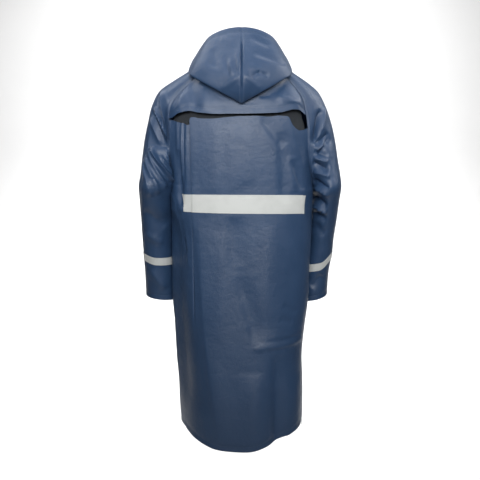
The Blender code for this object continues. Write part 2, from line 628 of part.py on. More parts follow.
SLEEVE_EDGE = 28         # degrees over which folds die away at the raglan seams
SLEEVE_NECK = 0.05       # and how far below the neck they start
SLEEVE_TOP, SLEEVE_SIDE = 12, 37     # they start this far round from the top, and are full here
FRONT_SHARE = 0.8        # the folds in front, next to those behind


def tape_rise(side, turn):
    """How much higher each row of the forearm runs round the outside, most at the tape."""
    armpit = CAPE_ROWS + YOKE_ROWS
    stops = np.cumsum((armpit,) + FOREARM_ROWS)
    row = np.arange(stops[-1] + 1.0)[:, None]
    share = np.interp(row, stops, (0, 1, 1, 0))
    return TAPE_RISE[side] * share * ease((RISE_STARTS - abs(turn)) / (RISE_STARTS - RISE_FULL))


def sleeve_points(side):
    along = sleeve_rows(side)[:, None]
    part = np.linspace(-1, 1, SLEEVE_COLUMNS + 1) * side
    turn = read(SLEEVES[side], "wrap", along) * part
    points = sleeve(side, along - tape_rise(side, turn), turn)
    wrap = read(SLEEVES[side], "wrap", along)
    mask = ease((wrap - abs(turn)) / SLEEVE_EDGE) * ease(along / SLEEVE_NECK)
    mask = mask * ease((abs(turn) - SLEEVE_TOP) / (SLEEVE_SIDE - SLEEVE_TOP))
    x, drop = abs(points[..., 0]), -points[..., 2]
    behind = folds(SLEEVE_FOLDS[side], x, drop)
    before = folds(SLEEVE_FOLDS[-side], x, drop) * FRONT_SHARE
    height = np.where(turn < 0, behind, before) * mask
    return lift(points, height)


def sleeve_band_points(points):
    first = CAPE_ROWS + YOKE_ROWS + FOREARM_ROWS[0]
    return lift(points[first:first + FOREARM_ROWS[1] + 1], TAPE + SEAM)


# ---------------------------------------------------------------- the hood

NECK_PARTS = (0, 0.30, 0.66, 1)      # front, sleeve and cape along the neckline
HOOD_FRONT = 0.010       # each half of the hood ends this far from the middle
HOOD_STAND = 0.010       # the hood rises this much from its seam before it turns out
HOOD_FLARE = 1.02        # and widens by this much as it does
HOOD_TURN = 0.004        # how much it arches on its way to the layer under
HOOD_ROOM = 0.0008       # its seam's edge lies this far above the coat's
HOOD_SEAM = 0.0012       # room between its halves, whose walls lean together at the fold
HOOD_EVEN = 0.4          # the width of its own that a half has is full by this part


def neckline(side, part):
    """The edge that the hood is sewn to, from the front edge (0) to the back (1)."""
    seam = raglan_seam(side, True)[0]
    front_part = np.clip(part / NECK_PARTS[1], 0, 1)
    x = HOOD_FRONT + (abs(seam[0]) - HOOD_FRONT) * front_part
    drop = neck_curve(-seam[2], FRONT_NECK_DROP, x, abs(seam[0]))
    on_front = body(drop, angle_of_width(True, drop, side * x))
    sleeve_part = np.clip((part - NECK_PARTS[1]) / (NECK_PARTS[2] - NECK_PARTS[1]), 0, 1)
    on_sleeve = sleeve(side, 0 * part, 90 - 180 * sleeve_part)
    cape_part = np.clip((part - NECK_PARTS[2]) / (1 - NECK_PARTS[2]), 0, 1)
    drop = raglan_drops(side, False, 0, 0)[0] + 0 * part
    start = seam_angle(side, False, drop) % 360
    on_cape = body(drop, start + (270 - start) * cape_part)
    here = np.where(part[..., None] < NECK_PARTS[1], on_front, on_sleeve)
    return np.where(part[..., None] > NECK_PARTS[2], on_cape, here)


def through(curves, t):
    """A smooth way through a list of points, t from 0 to 1 along them."""
    count = len(curves) - 1
    at = np.clip(t * count, 0, count - 1e-9)
    k = int(at)
    f = at - k
    p0 = curves[max(k - 1, 0)]
    p1, p2 = curves[k], curves[k + 1]
    p3 = curves[min(k + 2, count)]
    return 0.5 * (2 * p1 + (p2 - p0) * f + (2 * p0 - 5 * p1 + 4 * p2 - p3) * f * f
                  + (3 * p1 - p0 - 3 * p2 + p3) * f ** 3)


def hood_curve(side, letter, part):
    x = read(HOOD, letter + "x", part)
    x = x * (1 + (HOOD_WIDTH[side] - 1) * ease(part / HOOD_EVEN))
    return np.stack([side * x, read(HOOD, letter + "y", part), read(HOOD, letter + "z", part)], -1)


def hood_points(side):
    """Half the hood, from its neck seam out under itself, round the fold and up to the brim."""
    part = np.linspace(0, 1, HOOD_COLUMNS + 1)
    neck = neckline(side, part)
    neck[:, 2] += HOOD_ROOM
    stand = neck * (HOOD_FLARE, HOOD_FLARE, 1) + (0, 0, HOOD_STAND)
    under, fold, outer, brim = (hood_curve(side, letter, part) for letter in "ufob")
    turn = (under + stand) / 2 + (0, 0, HOOD_TURN)
    curves = (neck, stand, turn, under, fold, outer, brim)
    points = np.stack([through(curves, t) for t in np.linspace(1, 0, HOOD_ROWS + 1)])
    points[:, -1, 0] = side * HOOD_SEAM / 2
    return points if side == LEFT else points[:, ::-1]


# ---------------------------------------------------------------- the press studs

def stud(name, place, facing, finish):
    mesh = bpy.data.meshes.new(name)
    shape = bmesh.new()
    bmesh.ops.create_cone(shape, cap_ends=True, segments=16, radius1=STUD_RADIUS,
                          radius2=STUD_RADIUS * STUD_CROWN, depth=STUD_HEIGHT)
    turned = Vector((0, 0, 1)).rotation_difference(facing).to_matrix().to_4x4()
    bmesh.ops.transform(shape, matrix=turned, verts=shape.verts)
    shape.to_mesh(mesh)
    shape.free()
    mesh.materials.append(finish)
    piece = bpy.data.objects.new(name, mesh)
    coat.objects.link(piece)
    piece.location = place
    piece.parent = wearer


def studs(front, finish):
    """A row of press studs down the left front, on the line of the middle."""
    normals = outward(front)
    line = [np.argmin(abs(row[:, 0])) for row in front]
    drops = np.array([-front[k, line[k], 2] for k in range(len(front))])
    for number in range(STUD_COUNT):
        drop = NECK_TO_STUD + STUD_PITCH * number
        k = int(np.argmin(abs(drops - drop)))
        facing = Vector(normals[k, line[k]])
        place = Vector(front[k, line[k]]) + facing * (STUD_HEIGHT / 2 + STUD_GAP)
        stud(f"stud_{number + 1}", place, facing, finish)


# ---------------------------------------------------------------- the coat

for old in list(bpy.data.objects):
    bpy.data.objects.remove(old, do_unlink=True)
coat = bpy.data.collections.new("hooded_raincoat")
bpy.context.scene.collection.children.link(coat)
wearer = bpy.data.objects.new("wearer_shoulders", None)
coat.objects.link(wearer)

navy = material("coated_cloth", (0.045, 0.075, 0.130), 0.38)
silver = material("reflective_tape", (0.62, 0.64, 0.62), 0.45)
dark = material("dark_mesh", (0.020, 0.021, 0.022), 0.85)
metal = material("stud_metal", (0.55, 0.55, 0.56), 0.30, 1.0)

back = back_panel_points()
cloth("back_panel", back, CLOTH, navy)
cloth("back_cape", cape_points(), CLOTH, navy)
cloth("vent_mesh", mesh_points(), MESH, dark)
cloth("back_band", band_points(back), TAPE, silver)
for side, word in ((LEFT, "left"), (RIGHT, "right")):
    front = front_points(side)
    cloth(f"front_{word}", front, CLOTH, navy)
    arm = sleeve_points(side)
    cloth(f"sleeve_{word}", arm, CLOTH, navy)
    cloth(f"sleeve_band_{word}", sleeve_band_points(arm), TAPE, silver)
    cloth(f"hood_{word}", hood_points(side), CLOTH, navy)
    if side == LEFT:
        studs(front, metal)
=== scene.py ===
# %% [markdown]
# # A long hooded raincoat, worn and empty
# This lesson dresses a raincoat in Blender. The coat stands in the air as if somebody wore it:
# a back panel with a pleat at each side, a loose cape over a mesh vent, raglan sleeves, two fronts
# closed with press studs, a hood that lies down on the shoulders, and reflective tapes.
# The plain solids of every piece are already made. They are loaded first, and each sheet of cloth
# that follows lies where its solid lies, only finer, with its creases, hems and stitches.

# %% Load the plain coat
import json
from collections import namedtuple

import bpy
import numpy as np
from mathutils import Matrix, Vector

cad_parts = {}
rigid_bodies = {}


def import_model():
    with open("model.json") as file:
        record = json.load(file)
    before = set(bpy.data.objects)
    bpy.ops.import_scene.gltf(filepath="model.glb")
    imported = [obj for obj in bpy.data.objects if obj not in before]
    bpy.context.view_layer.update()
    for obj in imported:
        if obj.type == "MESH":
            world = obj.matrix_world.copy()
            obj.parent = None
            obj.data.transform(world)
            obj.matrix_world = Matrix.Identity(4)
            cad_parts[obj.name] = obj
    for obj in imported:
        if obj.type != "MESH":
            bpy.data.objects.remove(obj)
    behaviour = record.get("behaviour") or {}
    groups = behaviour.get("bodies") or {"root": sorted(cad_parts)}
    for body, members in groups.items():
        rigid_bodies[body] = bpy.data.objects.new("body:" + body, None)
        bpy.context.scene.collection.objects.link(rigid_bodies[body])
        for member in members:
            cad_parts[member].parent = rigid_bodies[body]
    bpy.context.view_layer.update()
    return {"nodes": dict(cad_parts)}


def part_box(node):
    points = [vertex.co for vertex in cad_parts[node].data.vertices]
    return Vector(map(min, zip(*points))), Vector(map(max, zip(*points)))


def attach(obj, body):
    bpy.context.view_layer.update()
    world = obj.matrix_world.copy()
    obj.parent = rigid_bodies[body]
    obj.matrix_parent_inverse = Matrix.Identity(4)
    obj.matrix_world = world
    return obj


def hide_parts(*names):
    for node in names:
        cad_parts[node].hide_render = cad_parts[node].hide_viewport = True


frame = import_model()
bpy.ops.object.select_all(action="DESELECT")

# %% [markdown]
# ## The sizes that shape the coat
# A garment is drafted from a few levels and widths. The body is a row of ovals, one for each level
# below the neck. A sleeve is a row of ovals along the arm. Where a sleeve's oval stops short of a
# full turn it meets the body, and that line is the raglan seam. Everything else on the coat starts
# from these two forms, so they are the first thing to set down, in metres.

# %% Levels of the body and sections of the sleeves
LEFT, RIGHT = -1, 1
SIDES = ((LEFT, "left"), (RIGHT, "right"))
WORD = dict(SIDES)
BODY_MIDDLE_Y = -0.020
BACK_SQUARENESS = 2.4
FRONT_SQUARENESS = 2.1
HEM_DROP = 1.033
SEAM = 0.0002

Level = namedtuple("Level", "drop left right back front")
BODY = (
    Level(-0.010, 0.198, 0.199, -0.066, 0.050),
    Level(0.005, 0.198, 0.199, -0.078, 0.058),
    Level(0.030, 0.198, 0.199, -0.096, 0.070),
    Level(0.060, 0.198, 0.199, -0.112, 0.086),
    Level(0.100, 0.198, 0.199, -0.124, 0.107),
    Level(0.150, 0.198, 0.199, -0.131, 0.127),
    Level(0.230, 0.198, 0.199, -0.135, 0.140),
    Level(0.340, 0.1980, 0.1996, -0.136, 0.143),
    Level(0.460, 0.1980, 0.1978, -0.136, 0.143),
    Level(0.560, 0.1987, 0.1935, -0.138, 0.144),
    Level(0.665, 0.1985, 0.1908, -0.141, 0.146),
    Level(0.735, 0.1937, 0.1825, -0.144, 0.147),
    Level(0.820, 0.1905, 0.1757, -0.148, 0.149),
    Level(0.900, 0.1850, 0.1785, -0.151, 0.151),
    Level(0.980, 0.1822, 0.1795, -0.154, 0.153),
    Level(1.080, 0.1770, 0.1765, -0.156, 0.155),
)

Section = namedtuple("Section", "along x y drop out rise deep dip wrap")
SLEEVES = {
    LEFT: (
        Section(0.000, 0.0720, 0.005, 0.013, 0.0205, 47, 0.0557, 17.8, 90),
        Section(0.056, 0.1250, 0.004, 0.067, 0.0437, 74, 0.0790, 13, 90),
        Section(0.119, 0.1760, 0.006, 0.114, 0.0603, 74, 0.0840, 10, 90),
        Section(0.164, 0.1930, 0.006, 0.143, 0.0717, 60, 0.0850, 8, 91),
        Section(0.201, 0.1980, 0.006, 0.176, 0.0809, 53, 0.0840, 6, 95),
        Section(0.256, 0.2080, 0.006, 0.215, 0.0742, 43.7, 0.0820, 4, 105),
        Section(0.303, 0.2185, 0.006, 0.248, 0.0656, 35, 0.0810, 3, 118),
        Section(0.349, 0.2290, 0.003, 0.281, 0.0559, 27, 0.0800, 2, 135),
        Section(0.399, 0.2390, -0.005, 0.315, 0.0461, 12, 0.0790, 0, 160),
        Section(0.429, 0.2433, -0.010, 0.336, 0.0455, 1, 0.0780, 0, 180),
        Section(0.464, 0.2445, 0.004, 0.370, 0.0453, 0, 0.0770, 0, 180),
        Section(0.534, 0.2430, 0.028, 0.440, 0.0470, 0, 0.0760, 0, 180),
        Section(0.644, 0.2405, 0.053, 0.550, 0.0487, 3, 0.0740, 0, 180),
        Section(0.704, 0.2380, 0.064, 0.610, 0.0503, 4, 0.0710, 0, 180),
        Section(0.768, 0.2354, 0.075, 0.674, 0.0536, 5, 0.0690, 0, 180),
    ),
    RIGHT: (
        Section(0.000, 0.0720, 0.005, 0.013, 0.0205, 47, 0.0557, 17.8, 90),
        Section(0.059, 0.1240, 0.004, 0.069, 0.0405, 72, 0.0790, 13, 90),
        Section(0.111, 0.1620, 0.006, 0.116, 0.0620, 70.8, 0.0830, 10, 90),
        Section(0.150, 0.1720, 0.006, 0.149, 0.0789, 59.5, 0.0830, 8, 91),
        Section(0.191, 0.1820, 0.006, 0.183, 0.0843, 53.3, 0.0820, 6, 95),
        Section(0.244, 0.1940, 0.006, 0.218, 0.0786, 44, 0.0810, 4, 105),
        Section(0.294, 0.2085, 0.006, 0.250, 0.0660, 35, 0.0800, 3, 118),
        Section(0.338, 0.2235, 0.004, 0.283, 0.0522, 26.8, 0.0790, 2, 135),
        Section(0.388, 0.2360, -0.004, 0.318, 0.0432, 17, 0.0780, 0, 160),
        Section(0.418, 0.2402, -0.009, 0.340, 0.0405, 6, 0.0780, 0, 180),
        Section(0.463, 0.2405, 0.014, 0.380, 0.0390, 2, 0.0780, 0, 180),
        Section(0.523, 0.2365, 0.044, 0.440, 0.0415, 3, 0.0780, 0, 180),
        Section(0.583, 0.2312, 0.064, 0.500, 0.0430, 8, 0.0760, 0, 180),
        Section(0.638, 0.2265, 0.076, 0.555, 0.0460, 12, 0.0740, 0, 180),
        Section(0.693, 0.2200, 0.086, 0.612, 0.0450, 12, 0.0720, 0, 180),
        Section(0.757, 0.2165, 0.094, 0.680, 0.0462, 11, 0.0700, 0, 180),
    ),
}
ARMPIT = {LEFT: 0.429, RIGHT: 0.418}
CAPE_CORNER = {LEFT: 0.184, RIGHT: 0.155}
CUFF = {LEFT: 0.768, RIGHT: 0.757}
TAPE_TOP = {LEFT: 0.637, RIGHT: 0.647}
SLEEVE_TAPE = 0.0225
print(len(BODY), "levels,", [len(SLEEVES[side]) for side, word in SIDES], "sections")

# %% [markdown]
# A table gives its values at a few places only. `read` draws a smooth curve through one of its
# columns, and `ease` goes from 0 to 1 with soft ends. A spline library would do the same, but these
# few lines need nothing else, and they take whole arrays: a sheet has up to forty thousand points.

# %% Reading the tables
def read(table, name, at):
    keys = np.array([row[0] for row in table], float)
    values = np.array([getattr(row, name) for row in table], float)
    slopes = np.gradient(values, keys)
    at = np.clip(at, keys[0], keys[-1])
    i = np.clip(np.searchsorted(keys, at) - 1, 0, len(keys) - 2)
    step = keys[i + 1] - keys[i]
    t = (at - keys[i]) / step
    return (
        values[i] * (1 + 2 * t) * (1 - t) ** 2
        + values[i + 1] * t * t * (3 - 2 * t)
        + slopes[i] * step * t * (1 - t) ** 2
        - slopes[i + 1] * step * t * t * (1 - t)
    )


def ease(t):
    t = np.clip(t, 0, 1)
    return t * t * (3 - 2 * t)


print("back at 0.5 m below the neck:", round(float(read(BODY, "back", 0.5)), 4))

# %% [markdown]
# ## The body and the sleeves as forms
# `sleeve` gives a point for a distance along the arm and an angle round it. `body` gives a point
# for a level and an angle: its ovals are squared a little, as a back is flatter than an oval, and
# above the armpit they are made to pass through the raglan seams, so that panels and sleeves meet.

# %% The two forms
def sleeve(side, along, turn):
    table = SLEEVES[side]
    rise = np.radians(read(table, "rise", along))
    dip = np.radians(read(table, "dip", along))
    out = read(table, "out", along) * np.cos(np.radians(turn))
    deep = read(table, "deep", along) * np.sin(np.radians(turn))
    x = read(table, "x", along) + out * np.cos(rise)
    y = read(table, "y", along) + deep * np.cos(dip) + SEAM / 2 * turn / 180
    z = -read(table, "drop", along) + out * np.sin(rise) - deep * np.sin(dip)
    return np.stack([side * x, y, z], axis=-1)


def raglan_seam(side, front):
    along = np.linspace(0, ARMPIT[side], 400)
    turn = read(SLEEVES[side], "wrap", along) * (1 if front else -1)
    return sleeve(side, along, turn)


RAGLAN = {(side, front): raglan_seam(side, front) for side, word in SIDES for front in (False, True)}
UNDER_ARM = 0.05
SEAM_STARTS = 0.25
NEARLY = 0.999


def depth_and_squareness(drop, front):
    if front:
        return read(BODY, "front", drop) - BODY_MIDDLE_Y, FRONT_SQUARENESS
    return BODY_MIDDLE_Y - read(BODY, "back", drop), BACK_SQUARENESS


def half_width(side, front, drop):
    seam = RAGLAN[side, front]
    x, y = abs(seam[:, 0]) - SEAM, seam[:, 1] - BODY_MIDDLE_Y
    back_depth, back_square = depth_and_squareness(-seam[:, 2], False)
    front_depth, front_square = depth_and_squareness(-seam[:, 2], True)
    behind = (1 - np.clip(-y / back_depth, 0, NEARLY) ** back_square) ** (1 / back_square)
    before = (1 - np.clip(y / front_depth, 0, NEARLY) ** front_square) ** (1 / front_square)
    at_seam = x / (behind * before)
    armpit = -seam[-1, 2]
    step = at_seam[-1] - read(BODY, WORD[side], armpit)
    below = read(BODY, WORD[side], drop) + step * (1 - ease((drop - armpit) / UNDER_ARM))
    return np.where(drop < armpit, np.interp(drop, -seam[:, 2], at_seam), below)


def body(drop, angle):
    cosine, sine = np.cos(np.radians(angle)), np.sin(np.radians(angle))
    x, y = 0 * cosine, 0 * sine
    for side in (LEFT, RIGHT):
        for front in (False, True):
            here = (np.sign(cosine + 1e-12) == side) & ((sine > 0) == front)
            depth, square = depth_and_squareness(drop, front)
            width = half_width(side, front, drop)
            x = np.where(here, side * width * abs(cosine) ** (2 / square), x)
            y = np.where(here, (1 if front else -1) * depth * abs(sine) ** (2 / square), y)
    return np.stack([x, BODY_MIDDLE_Y + y, -drop], axis=-1)


print("body at 0.6 m, right side:", body(np.array(0.6), np.array(0.0)).round(3))

# %% [markdown]
# A panel ends at a seam, and a seam is known by how deep it lies, not by its angle. These three
# turn a depth or a width into the angle that `body` wants, and `seam_angle` follows the raglan seam
# down to the armpit and the side seam from there to the hem.

# %% Where the panels end
Side = namedtuple("Side", "drop left right")
SIDE_SEAM = (
    Side(0.336, -0.010, -0.009),
    Side(0.342, -0.013, -0.009),
    Side(0.354, -0.044, -0.028),
    Side(0.366, -0.066, -0.048),
    Side(0.405, -0.078, -0.058),
    Side(0.600, -0.078, -0.056),
    Side(1.080, -0.074, -0.054),
)


def angle_of_depth(side, drop, y):
    y = y - BODY_MIDDLE_Y
    back_depth, back_square = depth_and_squareness(drop, False)
    front_depth, front_square = depth_and_squareness(drop, True)
    behind = np.degrees(np.arcsin(np.clip(-y / back_depth, 0, 1) ** (back_square / 2)))
    before = np.degrees(np.arcsin(np.clip(y / front_depth, 0, 1) ** (front_square / 2)))
    return before - behind if side == RIGHT else 180 - before + behind


def angle_of_width(front, drop, x):
    square = FRONT_SQUARENESS if front else BACK_SQUARENESS
    width = np.where(x < 0, half_width(LEFT, front, drop), half_width(RIGHT, front, drop))
    lean = np.degrees(np.arcsin(np.sign(x) * np.clip(abs(x) / width, 0, 1) ** (square / 2)))
    return 90 - lean if front else 270 + lean


def seam_angle(side, front, drop):
    seam = RAGLAN[side, front]
    raglan = np.interp(drop, -seam[:, 2], seam[:, 1])
    y = np.where(drop <= -seam[-1, 2] + 1e-6, raglan, read(SIDE_SEAM, WORD[side], drop))
    room = SEAM * (1 if front else -1) * ease((drop - SEAM_STARTS) / UNDER_ARM)
    return angle_of_depth(side, drop, y + room)


print("right side seam at 0.6 m:", round(float(seam_angle(RIGHT, False, np.array(0.6))), 1), "degrees")

# %% [markdown]
# ## Rows that seams share
# Two pieces look sewn together when their edges have the same points. So the rows of a sleeve are
# fixed first, and the panels of the body take the levels at which those rows reach the seam.

# %% Rows along the seams
CAPE_ROWS, YOKE_ROWS = 42, 56
FOREARM_ROWS = (40, 8, 30)
UNDERARM_ROWS, BAND_ROWS, SKIRT_ROWS = 7, 14, 150
BAND_TOP = {LEFT: 0.358, RIGHT: 0.363}
BAND_BOTTOM = {LEFT: 0.402, RIGHT: 0.411}
BAND_TOP_RISE = 0.007
BAND_BOTTOM_RISE = 0.003
BAND_BOW = 0.7
ROWS_TO_EVEN = 44


def rows_between(stops, counts):
    runs = [np.linspace(stops[k], stops[k + 1], counts[k] + 1)[1:] for k in range(len(counts))]
    return np.concatenate([[stops[0]]] + runs)


def sleeve_rows(side):
    tape = TAPE_TOP[side]
    stops = (0, CAPE_CORNER[side], ARMPIT[side], tape, tape + SLEEVE_TAPE, CUFF[side])
    return rows_between(stops, (CAPE_ROWS, YOKE_ROWS) + FOREARM_ROWS)


def raglan_drops(side, front, first, last):
    along = sleeve_rows(side)[first:last + 1]
    turn = read(SLEEVES[side], "wrap", along) * (1 if front else -1)
    return -sleeve(side, along, turn)[:, 2]


def side_drops(side):
    armpit = raglan_drops(side, False, CAPE_ROWS + YOKE_ROWS, CAPE_ROWS + YOKE_ROWS)[0]
    stops = (armpit, BAND_TOP[side], BAND_BOTTOM[side], HEM_DROP)
    return rows_between(stops, (UNDERARM_ROWS, BAND_ROWS, SKIRT_ROWS))[1:]


print(len(sleeve_rows(LEFT)), "rows down a sleeve,", len(side_drops(LEFT)), "from armpit to hem")

# %% [markdown]
# ## Creases
# Creases are what makes cloth read as cloth. Simulation gives creases, but not where they are
# wanted, so here each one is placed one by one: a line from one place to another, seen flat from behind
# or from the front, a width on each side of the line and a height. Below 0 it is a trough. A crease
# that is narrow on one side and wide on the other is a fold of cloth that leans over. `crisp` sets
# how sharp the line of the fold is: 2 is a soft roll, and near 1 it is a hard line. The tables of
# creases come later, each with its own piece.

# %% Creases
Crease = namedtuple("Crease", "x0 d0 x1 d1 below above height")


def creases(table, x, drop, crisp=2.0):
    total = 0 * x
    for crease in table:
        run = np.array([crease.x1 - crease.x0, crease.d1 - crease.d0])
        length = np.hypot(*run)
        t = ((x - crease.x0) * run[0] + (drop - crease.d0) * run[1]) / length ** 2
        side = ((x - crease.x0) * run[1] - (drop - crease.d0) * run[0]) / length
        past = np.maximum(np.maximum(-t, t - 1), 0) * length
        wide = np.where(side < 0, crease.below, crease.above)
        away = np.hypot(side / wide, past / np.minimum(crease.below, crease.above))
        t = np.clip(t, 0, 1)
        total = total + crease.height * np.exp(-away ** crisp) * (1 - (2 * t - 1) ** 4)
    return total


try_crease = (Crease(0.0, 0.0, 0.0, 0.2, 0.010, 0.020, 0.003),)
print("10 mm to each side of a crease:", creases(try_crease, np.array([-0.01, 0.01]), 0.1).round(4))

# %% [markdown]
# A height has to be taken along the normal of the cloth. `raised` works the normals out from the
# smooth form before any crease is added, by stepping a little along it in both directions, so a
# fold that doubles back on itself still lifts the right way.

# %% Raising cloth off its form
def unit(vectors):
    return vectors / np.linalg.norm(vectors, axis=-1, keepdims=True)


def normals(points):
    return unit(np.cross(np.gradient(points, axis=1), -np.gradient(points, axis=0)))


def raised(form, down, round_it, height):
    """Points of a form at (down, round_it), each moved out by its height."""
    step_down, step_round = 0.002, 0.5
    run_down = form(down + step_down, round_it) - form(down - step_down, round_it)
    run_round = form(down, round_it + step_round) - form(down, round_it - step_round)
    out = unit(np.cross(run_round, -run_down))
    return form(down, round_it) + out * np.broadcast_to(height, down.shape)[..., None]


def lift(points, height):
    return points + normals(points) * np.broadcast_to(height, points.shape[:2])[..., None]


print("unit of (3, 0, 4):", unit(np.array([3.0, 0.0, 4.0])))

# %% [markdown]
# A hem is turned over and stitched, and the stitches pull a shallow line into the cloth a little
# way in from the edge. `hemmed` measures how far each point lies from the edge along its column.

# %% Hems
HEM_DEEP = 0.0145
HEM_PULL = 0.0011
HEM_SOFT = 0.0030


def hemmed(points, at_last_row=True):
    rows = points[::-1] if at_last_row else points
    steps = np.linalg.norm(np.diff(rows, axis=0), axis=-1)
    away = np.concatenate([0 * steps[:1], np.cumsum(steps, axis=0)])
    height = -HEM_PULL * np.exp(-((away - HEM_DEEP) / HEM_SOFT) ** 2)
    return lift(points, height[::-1] if at_last_row else height)


print("hem", HEM_DEEP, "m deep")

# %% [markdown]
# ## One sheet of cloth
# On the real coat a panel is cut flat and sewn. A sheet's flat size could be read from a pattern for
# such a coat. Here it is added up along the rows and columns of the worn grid, because coated cloth
# bends but hardly stretches.

# %% Measuring a sheet
def flat_size(points):
    """How wide and how long a sheet is, laid flat."""
    width = np.linalg.norm(np.diff(points, axis=1), axis=-1).sum(axis=1).mean()
    length = np.linalg.norm(np.diff(points, axis=0), axis=-1).sum(axis=0).mean()
    return float(width), float(length)


def flat_area(points):
    across, down = np.diff(points, axis=1)[:-1], np.diff(points, axis=0)[:, :-1]
    return float(np.linalg.norm(np.cross(across, down), axis=-1).sum())


patch = np.array([[[0, 0, 0], [0.01, 0, 0]], [[0, 0, -0.02], [0.01, 0, -0.02]]])
print("a patch of 10 by 20 mm:", flat_size(patch), "m,", flat_area(patch), "m2")

# %% [markdown]
# A panel starts as a flat grid with as many rows and columns as its form needs, and each of its
# points is carried to its place on the worn coat. The grid keeps its flat map, scaled to real
# metres, so a weave can follow the cloth round every crease. Solidify gives it a real thickness on
# the inner side, and is applied. A cloth simulation could drape it instead, but never twice alike.

# %% Laying a sheet
CLOTH = 0.0010
TAPE = 0.0006
NET = 0.0008
SHARP_ANGLE = 40


def lay_sheet(name, points, thickness, finish):
    bpy.ops.object.select_all(action="DESELECT")
    rows, columns = points.shape[0] - 1, points.shape[1] - 1
    bpy.ops.mesh.primitive_grid_add(x_subdivisions=columns, y_subdivisions=rows, size=1)
    piece = bpy.context.object
    piece.name = piece.data.name = name
    mesh = piece.data
    flat = np.empty(len(mesh.vertices) * 3)
    mesh.vertices.foreach_get("co", flat)
    flat = flat.reshape(-1, 3)
    column = np.rint((flat[:, 0] + 0.5) * columns).astype(int)
    row = np.rint((0.5 - flat[:, 1]) * rows).astype(int)
    mesh.vertices.foreach_set("co", points[row, column].ravel())
    width, length = flat_size(points)
    chart = np.empty(len(mesh.loops) * 2)
    mesh.uv_layers[0].data.foreach_get("uv", chart)
    mesh.uv_layers[0].name = "cloth_metres"
    mesh.uv_layers[0].data.foreach_set("uv", (chart.reshape(-1, 2) * (width, length)).ravel())
    wall = piece.modifiers.new("wall", "SOLIDIFY")
    wall.thickness = thickness
    wall.offset = -1
    bpy.ops.object.modifier_apply(modifier="wall")
    bpy.ops.object.shade_smooth_by_angle(angle=np.radians(SHARP_ANGLE))
    mesh.materials.append(finish)
    print(f"{name}: {width:.3f} x {length:.3f} m flat, {len(mesh.polygons) * 2} triangles")
    return piece


print("cloth", CLOTH, "tape", TAPE, "net", NET, "m thick")

# %% [markdown]
# Each finished piece stands for some plain solids, which are hidden, and it moves with the coat
# as part of its one body.

# %% A piece in place of its solids
def dress(piece, slot, *nodes):
    """A finished piece stands for its solids and moves with the coat."""
    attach(piece, "root")
    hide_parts(*nodes)


print("a piece can stand for", len(frame["nodes"]), "plain ones")

# %% [markdown]
# ## Finishes as sums
# Shader nodes are easier to read as arithmetic. `Wire` wraps the socket that a number or colour
# comes out of, and its operators add Math nodes, so a tone can be written as `0.46 + noise * 0.16`.
# The nodes could be wired one by one, but a sum says at a glance what a finish is made of.

# %% Wires
class Wire:
    def __init__(self, finish, socket):
        self.finish, self.socket = finish, socket

    def math(self, operation, *values):
        return self.finish.node("ShaderNodeMath", {"operation": operation}, dict(enumerate(values)))

    def __add__(self, other):
        return self.math("ADD", self, other)

    def __sub__(self, other):
        return self.math("SUBTRACT", self, other)

    def __rsub__(self, other):
        return self.math("SUBTRACT", other, self)

    def __mul__(self, other):
        return self.math("MULTIPLY", self, other)

    def sine(self):
        return self.math("SINE", self)

    def clamped(self):
        return self.math("MINIMUM", self.math("MAXIMUM", self, 0.0), 1.0)

    __radd__, __rmul__ = __add__, __mul__


print("wires carry +, - and *, also with a plain number first")

# %% [markdown]
# `Finish` is one material. Any node that isn't a sum is made by its `node`, from its settings and
# the values or wires of its sockets. A bump can be laid over another one, so that a fine grain
# rides on a soft crumple, and two waves that cross are the start of every weave.

# %% A small language for finishes
class Finish:
    """One material: its nodes, and the Principled shader that they end in."""

    def __init__(self, name, **sockets):
        self.material = bpy.data.materials.new(name)
        self.material.use_nodes = True
        self.tree = self.material.node_tree
        self.shader = self.tree.nodes["Principled BSDF"]
        self.set(**sockets)

    def join(self, socket, value):
        if isinstance(value, Wire):
            self.tree.links.new(value.socket, socket)
        elif socket.type == "RGBA" and len(value) == 3:
            socket.default_value = (*value, 1)
        else:
            socket.default_value = value

    def set(self, **sockets):
        for name, value in sockets.items():
            self.join(self.shader.inputs[name.replace("_", " ")], value)

    def node(self, kind, settings=None, sockets=None, out=0):
        made = self.tree.nodes.new(kind)
        for name, value in (settings or {}).items():
            setattr(made, name, value)
        for name, value in (sockets or {}).items():
            self.join(made.inputs[name], value)
        return Wire(self, made.outputs[out])

    def mix(self, mask, first, second):
        sockets = {"Factor": mask, 6: first, 7: second}
        return self.node("ShaderNodeMix", {"data_type": "RGBA"}, sockets, out=2)

    def noise(self, where, scale, detail=3.0, roughness=0.5, stretch=(1, 1, 1)):
        moved = self.node("ShaderNodeMapping", {}, {"Vector": where, "Scale": stretch})
        sockets = {"Vector": moved, "Scale": scale, "Detail": detail, "Roughness": roughness}
        return self.node("ShaderNodeTexNoise", {}, sockets)

    def bump(self, height, strength, distance, over=None):
        sockets = {"Height": height, "Strength": strength, "Distance": distance}
        if over:
            sockets["Normal"] = over
        return self.node("ShaderNodeBump", {}, sockets)

    def place(self):
        return self.node("ShaderNodeTexCoord", out=3)

    def across_and_down(self):
        """The two directions of the flat sheet, in metres."""
        chart = self.node("ShaderNodeUVMap", {"uv_map": "cloth_metres"})
        parts = self.node("ShaderNodeSeparateXYZ", {}, {"Vector": chart}).socket.node.outputs
        return Wire(self, parts["X"]), Wire(self, parts["Y"])


def crossed_waves(u, v, turns):
    return (u * turns).sine() * (v * turns).sine()


print("a finish knows", [name for name in vars(Finish) if name[0] != "_"])

